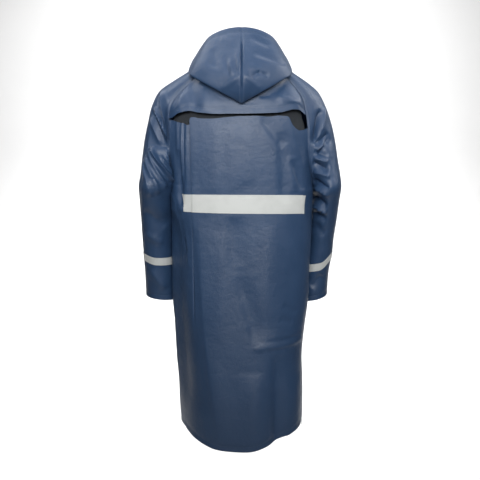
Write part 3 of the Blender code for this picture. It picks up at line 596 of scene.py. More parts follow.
# %% [markdown]
# ## The coated cloth
# The coat is a close polyester weave with a rubbery coating: deep navy, a wide satin shine that goes
# pale where light skims it, and no visible yarn from a step away. A scanned swatch would repeat and
# blur, so the finish is made of waves and noise at four scales: the weave, half a millimetre wide,
# small wrinkles, a soft crumple that breaks the shine, and a slow drift in colour.

# %% Coated cloth
NAVY = (0.0165, 0.040, 0.090)
NAVY_WORN = (0.023, 0.054, 0.119)
THREAD_PITCH = 0.0006


def coated_cloth():
    cloth = Finish("coated_cloth", Metallic=0.0, IOR=1.5, Specular_IOR_Level=0.5)
    place = cloth.place()
    u, v = cloth.across_and_down()
    weave = crossed_waves(u, v, 2 * np.pi / THREAD_PITCH)
    crumple = cloth.noise(place, scale=26.0, detail=4.0, roughness=0.55)
    drift = cloth.noise(place, scale=5.0, detail=2.0)
    speck = cloth.noise(place, scale=420.0, detail=2.0)
    wrinkle = cloth.noise(place, scale=75.0, detail=3.0, roughness=0.55, stretch=(1, 1, 1.6))
    tone = (drift - 0.5) * 0.9 + (crumple - 0.5) * 0.5 + 0.35
    fine = cloth.bump(weave + (speck - 0.5) * 1.5, strength=0.25, distance=0.00015)
    small = cloth.bump(wrinkle, strength=0.3, distance=0.0012, over=fine)
    cloth.set(
        Base_Color=cloth.mix(tone.clamped(), NAVY, NAVY_WORN),
        Roughness=0.46 + (crumple - 0.5) * 0.16 + (speck - 0.5) * 0.10,
        Normal=cloth.bump(crumple, strength=0.4, distance=0.005, over=small),
    )
    return cloth.material


coated = coated_cloth()
print("the cloth's finish has", len(coated.node_tree.nodes), "nodes")

# %% [markdown]
# ## Reflective tape
# The tape is a fabric with glass beads pressed into it: silver grey and nearly matt by day, with a
# fine grain and faint diamonds from its backing. The diamonds follow the tape's own flat map, so
# they run square to its edges, also where it goes round a sleeve. Handling makes it duller in spots.

# %% Tape finish
SILVER = (0.465, 0.48, 0.468)
SILVER_DULL = (0.405, 0.42, 0.41)
DIAMONDS = 1100


def reflective_tape():
    tape = Finish("reflective_tape", Metallic=0.0, Specular_IOR_Level=0.5, Sheen_Weight=0.2)
    u, v = tape.across_and_down()
    place = tape.place()
    grain = tape.noise(place, scale=900.0, detail=2.0)
    handled = tape.noise(place, scale=30.0, detail=3.0)
    diamonds = crossed_waves(u + v, u - v, DIAMONDS)
    tape.set(
        Base_Color=tape.mix(((handled - 0.42) * 2.2).clamped(), SILVER, SILVER_DULL),
        Roughness=0.48 + (grain - 0.5) * 0.2,
        Normal=tape.bump(diamonds * 0.6 + grain, strength=0.3, distance=0.0002),
    )
    return tape.material


tape_finish = reflective_tape()
print("one diamond of the tape is", round(2000 * np.pi / DIAMONDS, 1), "mm wide")

# %% [markdown]
# ## Vent net
# The vent is closed by a knitted net, nearly black, that lets damp air out and keeps the cape from
# being blown inside. Real holes would take a million faces for a strip that lies in shadow, so the
# holes are two crossed waves, which darken the yarn and press into it.

# %% Net finish
NET_YARN, NET_HOLE = (0.034, 0.039, 0.046), (0.018, 0.021, 0.025)
NET_WAVES = 2900


def vent_net():
    net = Finish("dark_net", Metallic=0.0, Specular_IOR_Level=0.25)
    u, v = net.across_and_down()
    holes = crossed_waves(u, v, NET_WAVES)
    net.set(
        Base_Color=net.mix((holes * 0.5 + 0.5).clamped(), NET_YARN, NET_HOLE),
        Roughness=0.80 + (net.noise(net.place(), scale=60.0) - 0.5) * 0.2,
        Normal=net.bump(holes, strength=0.8, distance=0.0006),
    )
    return net.material


net_finish = vent_net()
print("one mesh of the net is", round(2000 * np.pi / NET_WAVES, 1), "mm wide")

# %% [markdown]
# ## Thread and press-stud metal
# The thread is the navy of the cloth, a shade lighter, and uneven as twisted yarn is. The studs are
# nickel plated and scuffed by use. Both are so small that one noise each is enough.

# %% Thread and metal finishes
THREAD, THREAD_PALE = (0.035, 0.055, 0.100), (0.075, 0.105, 0.165)
NICKEL, NICKEL_BRIGHT = (0.52, 0.52, 0.53), (0.62, 0.62, 0.62)


def sewing_thread():
    thread = Finish("navy_thread", Metallic=0.0, Roughness=0.6)
    tone = thread.noise(thread.place(), scale=300.0)
    thread.set(Base_Color=thread.mix(tone, THREAD, THREAD_PALE))
    return thread.material


def nickel():
    metal = Finish("stud_metal", Metallic=1.0)
    scuffs = metal.noise(metal.place(), scale=500.0, detail=4.0)
    metal.set(
        Base_Color=metal.mix(scuffs, NICKEL, NICKEL_BRIGHT),
        Roughness=0.26 + (scuffs - 0.5) * 0.3,
    )
    return metal.material


thread_finish, metal_finish = sewing_thread(), nickel()
print("made", thread_finish.name, "and", metal_finish.name)

# %% [markdown]
# ## Where the back creases
# A worn coat pulls from the shoulders towards its pleats, and the skirt hangs in long soft folds.
# On its left the skirt also falls in beside the pleat. That is too wide for a crease, so `flank` is
# a hollow of its own between the pleat and the side seam, deepest a little above the hem.

# %% Creases of the back
BACK_CREASES = (
    Crease(-0.024, 0.17, -0.022, 0.35, 0.022, 0.028, 0.0026),
    Crease(-0.068, 0.16, -0.071, 0.35, 0.026, 0.024, 0.0026),
    Crease(0.018, 0.18, 0.016, 0.33, 0.020, 0.020, 0.0020),
    Crease(0.048, 0.152, 0.108, 0.232, 0.008, 0.022, -0.0032),
    Crease(0.104, 0.190, 0.111, 0.380, 0.012, 0.026, -0.0034),
    Crease(0.130, 0.250, 0.142, 0.350, 0.012, 0.014, 0.0030),
    Crease(0.132, 0.262, 0.164, 0.345, 0.007, 0.012, -0.0045),
    Crease(-0.023, 0.41, -0.018, 0.57, 0.018, 0.030, -0.0045),
    Crease(-0.018, 0.55, 0.048, 0.77, 0.016, 0.030, -0.0060),
    Crease(-0.112, 0.42, -0.102, 0.74, 0.010, 0.034, 0.0030),
    Crease(-0.100, 0.72, -0.058, 1.06, 0.012, 0.036, 0.0040),
    Crease(-0.1338, 0.398, -0.1332, 0.72, 0.0018, 0.0015, -0.0024),
    Crease(-0.172, 0.235, -0.166, 0.392, 0.010, 0.007, -0.0085),
    Crease(-0.160, 0.440, -0.150, 0.560, 0.006, 0.008, 0.0022),
    Crease(-0.168, 0.470, -0.156, 0.520, 0.005, 0.005, -0.0020),
    Crease(0.030, 0.775, 0.176, 0.764, 0.007, 0.040, 0.0036),
    Crease(0.058, 0.756, 0.170, 0.748, 0.010, 0.005, -0.0020),
    Crease(0.097, 0.79, 0.100, 1.12, 0.016, 0.026, -0.0090),
    Crease(0.112, 0.655, 0.150, 0.685, 0.008, 0.012, -0.0025),
    Crease(0.105, 0.690, 0.140, 0.712, 0.010, 0.010, -0.0020),
    Crease(0.040, 0.84, 0.034, 1.12, 0.036, 0.030, 0.0070),
    Crease(0.150, 0.86, 0.152, 1.12, 0.024, 0.020, 0.0050),
    Crease(0.075, 0.43, 0.068, 0.70, 0.030, 0.030, 0.0035),
    Crease(-0.060, 0.45, -0.052, 0.80, 0.026, 0.024, 0.0025),
    Crease(-0.175, 0.150, -0.172, 0.290, 0.005, 0.006, 0.0030),
    Crease(-0.162, 0.155, -0.162, 0.330, 0.004, 0.005, 0.0032),
    Crease(-0.150, 0.155, -0.149, 0.350, 0.004, 0.006, 0.0028),
    Crease(-0.156, 0.160, -0.156, 0.340, 0.004, 0.004, -0.0022),
    Crease(-0.184, 0.372, -0.160, 0.404, 0.008, 0.010, 0.0030),
)
Flank = namedtuple("Flank", "drop corner depth")
FLANK = (
    Flank(0.400, 0.134, 0.000),
    Flank(0.450, 0.126, 0.014),
    Flank(0.600, 0.112, 0.019),
    Flank(0.720, 0.102, 0.022),
    Flank(0.870, 0.090, 0.023),
    Flank(0.960, 0.082, 0.016),
    Flank(1.080, 0.076, 0.008),
)


def flank(points):
    """How far the left side of the skirt falls in beside its pleat."""
    x, y, drop = points[..., 0], points[..., 1], -points[..., 2]
    depth, square = depth_and_squareness(drop, False)
    corner = read(FLANK, "corner", drop) / half_width(LEFT, False, drop)
    corner = (1 - np.clip(corner, 0, NEARLY) ** square) ** (1 / square)
    across = np.clip(1 - (BODY_MIDDLE_Y - y) / depth / corner, 0, 1)
    return np.where(x < 0, -read(FLANK, "depth", drop) * np.sin(np.pi * across), 0)


print(len(BACK_CREASES), "creases, and a flank", max(row.depth for row in FLANK), "m deep")

# %% [markdown]
# ## The back panel
# The back hangs from a little below the shoulders. At each side it is folded forward into a deep
# pleat, so that it can open when the wearer reaches out. Two tables give its shape: how far out and
# how deep the pleats lie at each level, and the edges of the cape, the panel and the hem, which all
# wave from side to side.

# %% Pleats and edges of the back
Pleat = namedtuple("Pleat", "drop left left_depth right right_depth")
PLEATS = (
    Pleat(0.140, 0.138, 0.009, 0.117, 0.012),
    Pleat(0.165, 0.136, 0.009, 0.130, 0.012),
    Pleat(0.190, 0.135, 0.008, 0.138, 0.010),
    Pleat(0.215, 0.134, 0.007, 0.145, 0.008),
    Pleat(0.240, 0.134, 0.006, 0.154, 0.005),
    Pleat(0.265, 0.133, 0.005, 0.162, 0.001),
    Pleat(0.350, 0.132, 0.004, 0.163, 0.000),
    Pleat(0.420, 0.132, 0.003, 0.163, 0.000),
    Pleat(0.660, 0.132, 0.000, 0.155, 0.000),
    Pleat(1.080, 0.128, 0.000, 0.145, 0.000),
)
Across = namedtuple("Across", "x cape panel hem")
BACK_EDGES = (
    Across(-0.190, 0.1520, 0.1580, -0.003),
    Across(-0.160, 0.1404, 0.1660, 0.005),
    Across(-0.1385, 0.1363, 0.1640, 0.012),
    Across(-0.1345, 0.1363, 0.1535, 0.013),
    Across(-0.115, 0.1400, 0.1545, 0.019),
    Across(-0.080, 0.1440, 0.1557, 0.029),
    Across(-0.030, 0.1440, 0.1512, 0.034),
    Across(0.020, 0.1440, 0.1475, 0.033),
    Across(0.070, 0.1422, 0.1503, 0.021),
    Across(0.105, 0.1395, 0.1485, 0.007),
    Across(0.122, 0.1350, 0.1540, 0.002),
    Across(0.132, 0.1325, 0.1740, 0.000),
    Across(0.142, 0.1320, 0.1830, -0.005),
    Across(0.160, 0.1330, 0.1840, -0.012),
    Across(0.180, 0.1400, 0.1760, -0.018),
)
STRIP_STEPS, TUCK_STEPS, MIDDLE_STEPS = 22, 10, 96
BACK_KNOTS = np.cumsum([0, STRIP_STEPS, TUCK_STEPS, MIDDLE_STEPS, TUCK_STEPS, STRIP_STEPS])
print("the vent is open by", [round(row.panel - row.cape, 4) for row in BACK_EDGES], "m")

# %% [markdown]
# The pleat is one sheet that doubles back under itself: ten columns of the grid run in under the
# panel and out again to the narrow strip beside the sleeve, which lies deeper. A separate strip
# would leave a gap to hide, so the grid is one, and its columns are only led in and out again.

# %% Surface of the back
PLEAT_WIDTH = 0.003
TUCK = 0.008
FULL_PLEAT = 0.005
EDGE_COLUMNS = 12
FOLD_ROLL, FOLD_COLUMNS = 0.0018, 6
ROLL_ENDS, ROLL_FADES = 0.36, 0.2


def edge_mask(column, last, steps):
    return ease(np.minimum(column, last - column) / steps)


def pleated_angles(column, drop):
    left, right = read(PLEATS, "left", drop), read(PLEATS, "right", drop)
    left_tuck = TUCK * np.clip(read(PLEATS, "left_depth", drop) / FULL_PLEAT, 0, 1)
    right_tuck = TUCK * np.clip(read(PLEATS, "right_depth", drop) / FULL_PLEAT, 0, 1)
    in_left = np.clip((column - BACK_KNOTS[1]) / TUCK_STEPS, 0, 1)
    in_right = np.clip((BACK_KNOTS[4] - column) / TUCK_STEPS, 0, 1)
    left_x = -left - PLEAT_WIDTH * (1 - in_left) + left_tuck * np.sin(np.pi * in_left)
    right_x = right + PLEAT_WIDTH * (1 - in_right) - right_tuck * np.sin(np.pi * in_right)
    left_fold = angle_of_width(False, drop, left_x)
    right_fold = angle_of_width(False, drop, right_x)
    strip_left = np.clip(column / STRIP_STEPS, 0, 1)
    strip_right = np.clip((BACK_KNOTS[5] - column) / STRIP_STEPS, 0, 1)
    left_seam, right_seam = seam_angle(LEFT, False, drop), 360 + seam_angle(RIGHT, False, drop)
    middle = np.clip((column - BACK_KNOTS[2]) / MIDDLE_STEPS, 0, 1)
    angle = left_fold * (1 - middle) + right_fold * middle
    angle = np.where(column <= BACK_KNOTS[1], left_seam + (left_fold - left_seam) * strip_left, angle)
    return np.where(column >= BACK_KNOTS[4], right_seam + (right_fold - right_seam) * strip_right, angle)


def pleat_depth(column, drop):
    left = np.sqrt(np.clip(column / STRIP_STEPS, 0, 1))
    left = left * np.clip((BACK_KNOTS[2] - column) / TUCK_STEPS, 0, 1)
    right = np.sqrt(np.clip((BACK_KNOTS[5] - column) / STRIP_STEPS, 0, 1))
    right = right * np.clip((column - BACK_KNOTS[3]) / TUCK_STEPS, 0, 1)
    depth = left * read(PLEATS, "left_depth", drop) + right * read(PLEATS, "right_depth", drop)
    return np.maximum(depth, 0)


def back_surface(column, drop, room=0.0):
    angle = pleated_angles(column, drop)
    smooth = body(drop, angle)
    height = creases(BACK_CREASES, smooth[..., 0], drop)
    height = height * edge_mask(column, BACK_KNOTS[5], EDGE_COLUMNS) + flank(smooth)
    near = np.minimum(abs(column - BACK_KNOTS[2]), abs(column - BACK_KNOTS[3])) / FOLD_COLUMNS
    inside = (column >= BACK_KNOTS[2]) & (column <= BACK_KNOTS[3])
    shown = inside * (1 - ease((drop - ROLL_ENDS) / ROLL_FADES))
    height = height + FOLD_ROLL * np.exp(-near ** 2) * shown
    return raised(body, drop, angle, height - pleat_depth(column, drop) - room)


print("a grid of", BACK_KNOTS[5], "columns, pleats at", BACK_KNOTS[1:5])

# %% [markdown]
# The panel takes its rows from the seams at its two sides. Its top and bottom rows are then drawn to
# the waving edges, and a row near them moves along with them, less the further it lies away. The
# rows under the wide tape bow up a little in the middle, as the tape does.

# %% The back panel
TOP_REACH = 0.75
CORNER_ROOM = 0.0006


def across(steps, drop_left, drop_right):
    columns = np.arange(steps + 1.0)
    part = columns / steps
    drop = drop_left[:, None] * (1 - part) + drop_right[:, None] * part
    return np.broadcast_to(columns, drop.shape), drop


def back_panel_points():
    first, armpit = CAPE_ROWS, CAPE_ROWS + YOKE_ROWS
    left = np.concatenate([raglan_drops(LEFT, False, first, armpit), side_drops(LEFT)])
    right = np.concatenate([raglan_drops(RIGHT, False, first, armpit), side_drops(RIGHT)])
    column, drop = across(BACK_KNOTS[5], left, right)
    row = np.arange(len(left), dtype=float)[:, None]
    band = YOKE_ROWS + UNDERARM_ROWS
    above = 1 - np.clip(row / (YOKE_ROWS * TOP_REACH), 0, 1)
    below = np.clip((row - band - BAND_ROWS) / SKIRT_ROWS, 0, 1)
    x = body(drop, pleated_angles(column, drop))[..., 0]
    top = np.maximum(read(BACK_EDGES, "panel", x) - drop[:1], CORNER_ROOM)
    hem = read(BACK_EDGES, "hem", x)
    bow = np.sin(np.pi * column / column[0, -1]) ** BAND_BOW
    stops = [YOKE_ROWS, band, band + BAND_ROWS, band + BAND_ROWS + ROWS_TO_EVEN]
    rise = np.interp(row, stops, [0, BAND_TOP_RISE, BAND_BOTTOM_RISE, 0])
    return back_surface(column, drop + top * above ** 2 + hem * below ** 2 - rise * bow)


back_points = hemmed(back_panel_points())
back_panel = lay_sheet("back_panel_cloth", back_points, CLOTH, coated)
dress(back_panel, "coated_cloth", "back_panel")

# %% [markdown]
# The wide tape is sewn onto the back panel, so it is made from the panel's own points, moved out by
# its thickness: a tape sewn to a fold bends with it. It was cut a little askew at its right end,
# where the upper half of its last column is drawn towards the next one.

# %% The tape across the back
TAPE_STAND = 0.0004


def tape_points(points, first, rows):
    return lift(points[first:first + rows + 1], TAPE + TAPE_STAND)


BAND_FIRST, BAND_LAST = 13, 140
wide_tape = tape_points(back_points, YOKE_ROWS + UNDERARM_ROWS, BAND_ROWS)
band_points = wide_tape[:, BAND_FIRST:BAND_LAST + 1].copy()
slant = np.clip(1 - np.linspace(0, 2, len(band_points)), 0, 1)[:, None]
band_points[:, -1] += (wide_tape[:, BAND_LAST + 1] - band_points[:, -1]) * slant
print("the right end of the tape slants by", round(np.ptp(band_points[:, -1, 0]) * 1000, 1), "mm")
back_band = lay_sheet("back_tape", band_points, TAPE, tape_finish)
dress(back_band, "reflective_tape", "back_band")

# %% [markdown]
# ## The loose cape
# The cape is a second layer from the neck down to the shoulder blades. It is free at its lower edge
# and stands a few millimetres off the back, so air can pass through the net behind it. Its shape is
# the body's own, let out softly towards the edge and rippled where it hangs.

# %% The cape
CAPE_STAND = 0.006
CAPE_FREE = 0.375
CAPE_COLUMNS = 140
CAPE_EDGE_COLUMNS = 18
CAPE_SIDES, CAPE_NECK = 14, 5
CAPE_CREASES = (
    Crease(-0.137, 0.056, -0.116, 0.140, 0.009, 0.015, -0.0055),
    Crease(-0.160, 0.070, -0.160, 0.145, 0.010, 0.010, 0.0025),
    Crease(-0.098, 0.060, -0.092, 0.150, 0.016, 0.018, 0.0030),
    Crease(-0.050, 0.120, -0.046, 0.160, 0.010, 0.012, -0.0015),
    Crease(0.126, 0.054, 0.066, 0.098, 0.007, 0.013, -0.0045),
    Crease(0.044, 0.099, 0.074, 0.098, 0.004, 0.005, -0.0035),
    Crease(0.090, 0.100, 0.150, 0.116, 0.006, 0.008, 0.0030),
    Crease(0.148, 0.064, 0.156, 0.126, 0.008, 0.010, 0.0030),
    Crease(0.020, 0.120, 0.026, 0.160, 0.014, 0.012, 0.0018),
)


def cape_points():
    left = raglan_drops(LEFT, False, 0, CAPE_ROWS)
    right = raglan_drops(RIGHT, False, 0, CAPE_ROWS)
    column, drop = across(CAPE_COLUMNS, left, right)
    part = column / CAPE_COLUMNS
    down = np.arange(CAPE_ROWS + 1)[:, None] / CAPE_ROWS
    mask = edge_mask(column, CAPE_COLUMNS, CAPE_EDGE_COLUMNS)

    def angle_at(drop):
        start, end = seam_angle(LEFT, False, drop), 360 + seam_angle(RIGHT, False, drop)
        return start + (end - start) * part

    x = body(drop, angle_at(drop))[..., 0]
    drop = drop + (read(BACK_EDGES, "cape", x) - drop[-1:]) * down ** 2 * mask
    angle = angle_at(drop)
    x = body(drop, angle)[..., 0]
    stand = CAPE_STAND * ease((down - CAPE_FREE) / (1 - CAPE_FREE)) * mask
    fade = ease(part * CAPE_SIDES) * ease((1 - part) * CAPE_SIDES) * ease(down * CAPE_NECK)
    return raised(body, drop, angle, stand + creases(CAPE_CREASES, x, drop) * fade)


cape_sheet = hemmed(cape_points())
cape = lay_sheet("back_cape_cloth", cape_sheet, CLOTH, coated)
dress(cape, "coated_cloth", "back_cape")

# %% [markdown]
# ## The net in the vent
# What shows between the cape and the panel is a dark knitted net, sewn in behind both. It could be
# one flat strip, but then the panel's folds would cut through it, so it is laid on the panel's own
# surface, a little further in, and sags between its two seams.

# %% The net
NET_TOP, NET_BOTTOM = 0.112, 0.192
NET_ROWS = 36
NET_INSET = 3
NET_SAG = 0.0075
NET_ROOM = 0.0012
NET_HEM = 0.87
NET_SEWN = 0.4


def net_points():
    column = np.arange(float(NET_INSET), BACK_KNOTS[5] - NET_INSET + 1)
    down = np.linspace(0, 1, NET_ROWS + 1)[:, None]
    drop = NET_TOP + (NET_BOTTOM - NET_TOP) * down + 0 * column
    column = np.broadcast_to(column, drop.shape)
    pleat = pleat_depth(column, drop)
    pocket = NET_SAG * np.sin(np.pi * np.clip(down / NET_HEM, 0, 1))
    follow = ease(down / NET_SEWN)
    inward = CLOTH + NET_ROOM + np.maximum(pocket - pleat * follow, 0) - pleat * (1 - follow)
    return back_surface(column, drop, inward)


net_sheet = net_points()
net = lay_sheet("vent_net", net_sheet, NET, net_finish)
dress(net, "dark_mesh", "vent_mesh")

# %% [markdown]
# ## The sleeves
# A raglan sleeve runs all the way up to the neck. Around the elbow and under the arm the cloth
# bunches into short folds, because a coated cloth cannot stretch and has to buckle. The folds are
# creases again, seen from behind for the back of the arm. A worn coat never creases alike on both
# sides, so each sleeve has its own table, and its front borrows the other's, less deep.

# %% Creases of the sleeves
SLEEVE_CREASES = {
    LEFT: (
        Crease(0.212, 0.078, 0.196, 0.216, 0.006, 0.006, -0.0150),
        Crease(0.222, 0.086, 0.208, 0.180, 0.006, 0.006, 0.0050),
        Crease(0.236, 0.120, 0.192, 0.222, 0.005, 0.006, -0.0080),
        Crease(0.244, 0.130, 0.206, 0.218, 0.006, 0.005, 0.0040),
        Crease(0.250, 0.150, 0.220, 0.224, 0.006, 0.006, -0.0040),
        Crease(0.254, 0.224, 0.180, 0.230, 0.050, 0.007, 0.0070),
        Crease(0.275, 0.340, 0.176, 0.352, 0.090, 0.100, -0.0090),
        Crease(0.250, 0.236, 0.214, 0.340, 0.005, 0.008, -0.0070),
        Crease(0.258, 0.250, 0.228, 0.350, 0.005, 0.008, -0.0070),
        Crease(0.266, 0.262, 0.242, 0.356, 0.005, 0.008, -0.0060),
        Crease(0.246, 0.226, 0.182, 0.352, 0.005, 0.006, -0.0110),
        Crease(0.220, 0.250, 0.184, 0.318, 0.005, 0.006, -0.0080),
        Crease(0.205, 0.246, 0.182, 0.286, 0.005, 0.005, -0.0060),
        Crease(0.262, 0.330, 0.216, 0.420, 0.012, 0.020, -0.0024),
        Crease(0.268, 0.400, 0.214, 0.450, 0.014, 0.018, 0.0045),
        Crease(0.270, 0.470, 0.224, 0.500, 0.012, 0.010, -0.0035),
        Crease(0.262, 0.580, 0.220, 0.640, 0.012, 0.016, -0.0040),
    ),
    RIGHT: (
        Crease(0.214, 0.130, 0.193, 0.222, 0.008, 0.006, -0.0110),
        Crease(0.226, 0.120, 0.216, 0.190, 0.007, 0.009, 0.0040),
        Crease(0.238, 0.192, 0.194, 0.226, 0.006, 0.009, -0.0070),
        Crease(0.240, 0.202, 0.202, 0.256, 0.004, 0.010, -0.0060),
        Crease(0.232, 0.218, 0.200, 0.240, 0.007, 0.006, 0.0045),
        Crease(0.236, 0.256, 0.196, 0.240, 0.008, 0.006, -0.0050),
        Crease(0.234, 0.272, 0.194, 0.256, 0.006, 0.008, 0.0055),
        Crease(0.238, 0.290, 0.192, 0.270, 0.006, 0.009, -0.0075),
        Crease(0.240, 0.310, 0.196, 0.296, 0.008, 0.006, 0.0055),
        Crease(0.238, 0.340, 0.194, 0.318, 0.006, 0.009, -0.0070),
        Crease(0.240, 0.362, 0.200, 0.340, 0.007, 0.007, 0.0050),
        Crease(0.236, 0.396, 0.196, 0.364, 0.009, 0.006, -0.0085),
        Crease(0.238, 0.412, 0.198, 0.392, 0.006, 0.008, 0.0060),
        Crease(0.240, 0.436, 0.202, 0.412, 0.009, 0.012, -0.0060),
        Crease(0.238, 0.478, 0.204, 0.446, 0.012, 0.014, -0.0045),
        Crease(0.236, 0.600, 0.204, 0.640, 0.012, 0.016, -0.0040),
    ),
}
print([len(SLEEVE_CREASES[side]) for side, word in SIDES], "creases on the backs of the sleeves")

# %% [markdown]
# The creases fade out towards the seam and along the outer line of the arm, where back and front
# meet, so that the two tables never clash. Beside the raglan seam the cloth is turned in twice and
# stands up in a low ridge. The tape round the sleeve slopes up at the back, and its rows with it.

# %% The sleeves
SLEEVE_COLUMNS = 156
SLEEVE_EDGE = 10
SLEEVE_NECK = 0.05
SLEEVE_TOP, SLEEVE_SIDE = 8, 30
BUNCHING = 1.5
CRISP_SLEEVE = 1.4
FRONT_SHARE = 0.6
SEAM_RIDGE = 0.0009
SEAM_RIDGE_WIDTH, SEAM_RIDGE_FADES = 6.5, 2
SEAM_RIDGE_ENDS = 0.02
TAPE_RISE = {LEFT: 0.006, RIGHT: 0.018}
RISE_STARTS, RISE_FULL = 85, 35


def tape_rise(side, turn):
    stops = np.cumsum((CAPE_ROWS + YOKE_ROWS,) + FOREARM_ROWS)
    row = np.arange(stops[-1] + 1.0)[:, None]
    share = np.interp(row, stops, (0, 1, 1, 0))
    return TAPE_RISE[side] * share * ease((RISE_STARTS - abs(turn)) / (RISE_STARTS - RISE_FULL))


def sleeve_points(side):
    along = sleeve_rows(side)[:, None]
    part = np.linspace(-1, 1, SLEEVE_COLUMNS + 1) * side
    wrap = read(SLEEVES[side], "wrap", along)
    turn = wrap * part
    along = along - tape_rise(side, turn)
    smooth = sleeve(side, along, turn)
    x, drop = abs(smooth[..., 0]), -smooth[..., 2]
    mask = ease((wrap - abs(turn)) / SLEEVE_EDGE) * ease(along / SLEEVE_NECK)
    mask = mask * ease((abs(turn) - SLEEVE_TOP) / (SLEEVE_SIDE - SLEEVE_TOP))
    behind = creases(SLEEVE_CREASES[side], x, drop, CRISP_SLEEVE)
    before = creases(SLEEVE_CREASES[-side], x, drop) * FRONT_SHARE
    height = np.where(turn < 0, behind, before) * BUNCHING * mask
    ridge = SEAM_RIDGE * (1 - ease((wrap - abs(turn) - SEAM_RIDGE_WIDTH) / SEAM_RIDGE_FADES))
    ridge = ridge * ease((ARMPIT[side] - along) / SEAM_RIDGE_ENDS)

    def form(down, round_it):
        return sleeve(side, down, round_it)

    return raised(form, along, turn, height + ridge)


TAPE_ROW = CAPE_ROWS + YOKE_ROWS + FOREARM_ROWS[0]
arm_sheets = {}
for side, word in SIDES:
    arm_sheets[side] = hemmed(sleeve_points(side))
    arm = lay_sheet(f"sleeve_cloth_{word}", arm_sheets[side], CLOTH, coated)
    dress(arm, "coated_cloth", f"sleeve_{word}")
    tape_sheet = tape_points(arm_sheets[side], TAPE_ROW, FOREARM_ROWS[1])
    sleeve_tape = lay_sheet(f"sleeve_tape_{word}", tape_sheet, TAPE, tape_finish)
    dress(sleeve_tape, "reflective_tape", f"sleeve_band_{word}")

# %% [markdown]
# ## The fronts
# Each front runs from its sleeve and side seam to an edge past the middle. The left one laps over
# the right one by the thickness of the cloth, and the studs hold them together down the middle. The
# two could be one shape and its mirror image, but the folds of a worn coat are never that even, so
# one function shapes both from a table of creases that covers the whole chest.

# %% Creases of the fronts
FRONT_CREASES = (
    Crease(-0.120, 0.46, -0.132, 1.12, 0.030, 0.034, -0.0080),
    Crease(-0.088, 0.52, -0.080, 1.12, 0.030, 0.026, 0.0070),
    Crease(-0.160, 0.34, -0.148, 0.80, 0.024, 0.028, 0.0040),
    Crease(-0.150, 0.30, -0.085, 0.44, 0.012, 0.020, -0.0045),
    Crease(0.128, 0.44, 0.118, 1.12, 0.026, 0.034, -0.0080),
    Crease(0.076, 0.50, 0.090, 1.12, 0.032, 0.026, 0.0070),
    Crease(0.158, 0.40, 0.150, 0.90, 0.024, 0.028, 0.0040),
    Crease(0.152, 0.31, 0.092, 0.43, 0.020, 0.012, -0.0045),
    Crease(-0.100, 0.12, -0.120, 0.24, 0.014, 0.024, -0.0040),
    Crease(0.098, 0.12, 0.116, 0.25, 0.024, 0.014, -0.0040),
    Crease(-0.130, 0.24, -0.060, 0.30, 0.010, 0.016, -0.0025),
    Crease(0.140, 0.22, 0.076, 0.29, 0.016, 0.010, -0.0025),
)
print(len(FRONT_CREASES), "creases on the fronts")

# %% [markdown]
# The rows follow the seams at the side and are bent down into the curve of the neck. The creases
# are let in slowly from the seams and stop short of the lap, which lies flat under its studs.

# %% The fronts
FRONT_NECK_DROP = 0.072
FRONT_EDGE = 0.030
FRONT_COLUMNS = 100
LAP = CLOTH + 0.0012
LAP_START, LAP_FULL = -0.075, -0.045
NECK_ROUNDNESS = 2.5
FOLDS_FULL = 0.04
FOLDS_BACK = 0.03
SMOOTH_COLUMNS = 0.12
SMOOTH_ROWS = 20


def neck_curve(seam_drop, edge_drop, x, seam_x):
    return seam_drop + (edge_drop - seam_drop) * (1 - np.clip(abs(x) / seam_x, 0, 1) ** NECK_ROUNDNESS)


def front_points(side):
    armpit = CAPE_ROWS + YOKE_ROWS
    seam_drop = np.concatenate([raglan_drops(side, True, 0, armpit), side_drops(side)])[:, None]
    row = np.arange(len(seam_drop), dtype=float)[:, None]
    edge_drop = seam_drop + (FRONT_NECK_DROP - seam_drop[0]) * (1 - ease(row / armpit))
    part = np.arange(FRONT_COLUMNS + 1.0) / FRONT_COLUMNS
    level = seam_drop + 0 * part
    start = seam_angle(side, True, level)
    end = angle_of_width(True, level, -side * FRONT_EDGE + 0 * level)
    angle = start + (end - start) * part
    x = body(level, angle)[..., 0]
    drop = neck_curve(seam_drop, edge_drop, x, abs(x[:, :1]))
    above = row < armpit
    drop = np.where(above, drop, level)
    angle = np.where(above, angle_of_width(True, drop, x), angle)
    smooth = body(drop, angle)
    x, y = smooth[..., 0], smooth[..., 1]
    height = creases(FRONT_CREASES, x, drop)
    height = height * ease(part / SMOOTH_COLUMNS) * ease(row / SMOOTH_ROWS)
    height = height * ease((abs(x) - FRONT_EDGE) / FOLDS_FULL) * ease(1 + y / FOLDS_BACK)
    if side == RIGHT:
        return raised(body, drop, angle, height)
    height = height + flank(smooth)
    height = height + LAP * ease((x - LAP_START) / (LAP_FULL - LAP_START))
    return raised(body, drop, angle, height)[:, ::-1]


front_sheets = {}
for side, word in SIDES:
    front_sheets[side] = hemmed(front_points(side))
    front = lay_sheet(f"front_cloth_{word}", front_sheets[side], CLOTH, coated)
    dress(front, "coated_cloth", f"front_{word}")

# %% [markdown]
# ## The hood
# The hood is two halves sewn together down the middle, lying on the shoulders. Each half rises from
# the neck seam, turns out over itself, goes down to the fold and comes up again to the brim, so the
# hood is a soft pouch. It could be sculpted, but four rings say all that matters: the under side,
# the fold, the outer side and the brim, each from the front to the middle of the back. The last
# place of a ring lies past the middle, so that the curve crosses the seam without a kink.

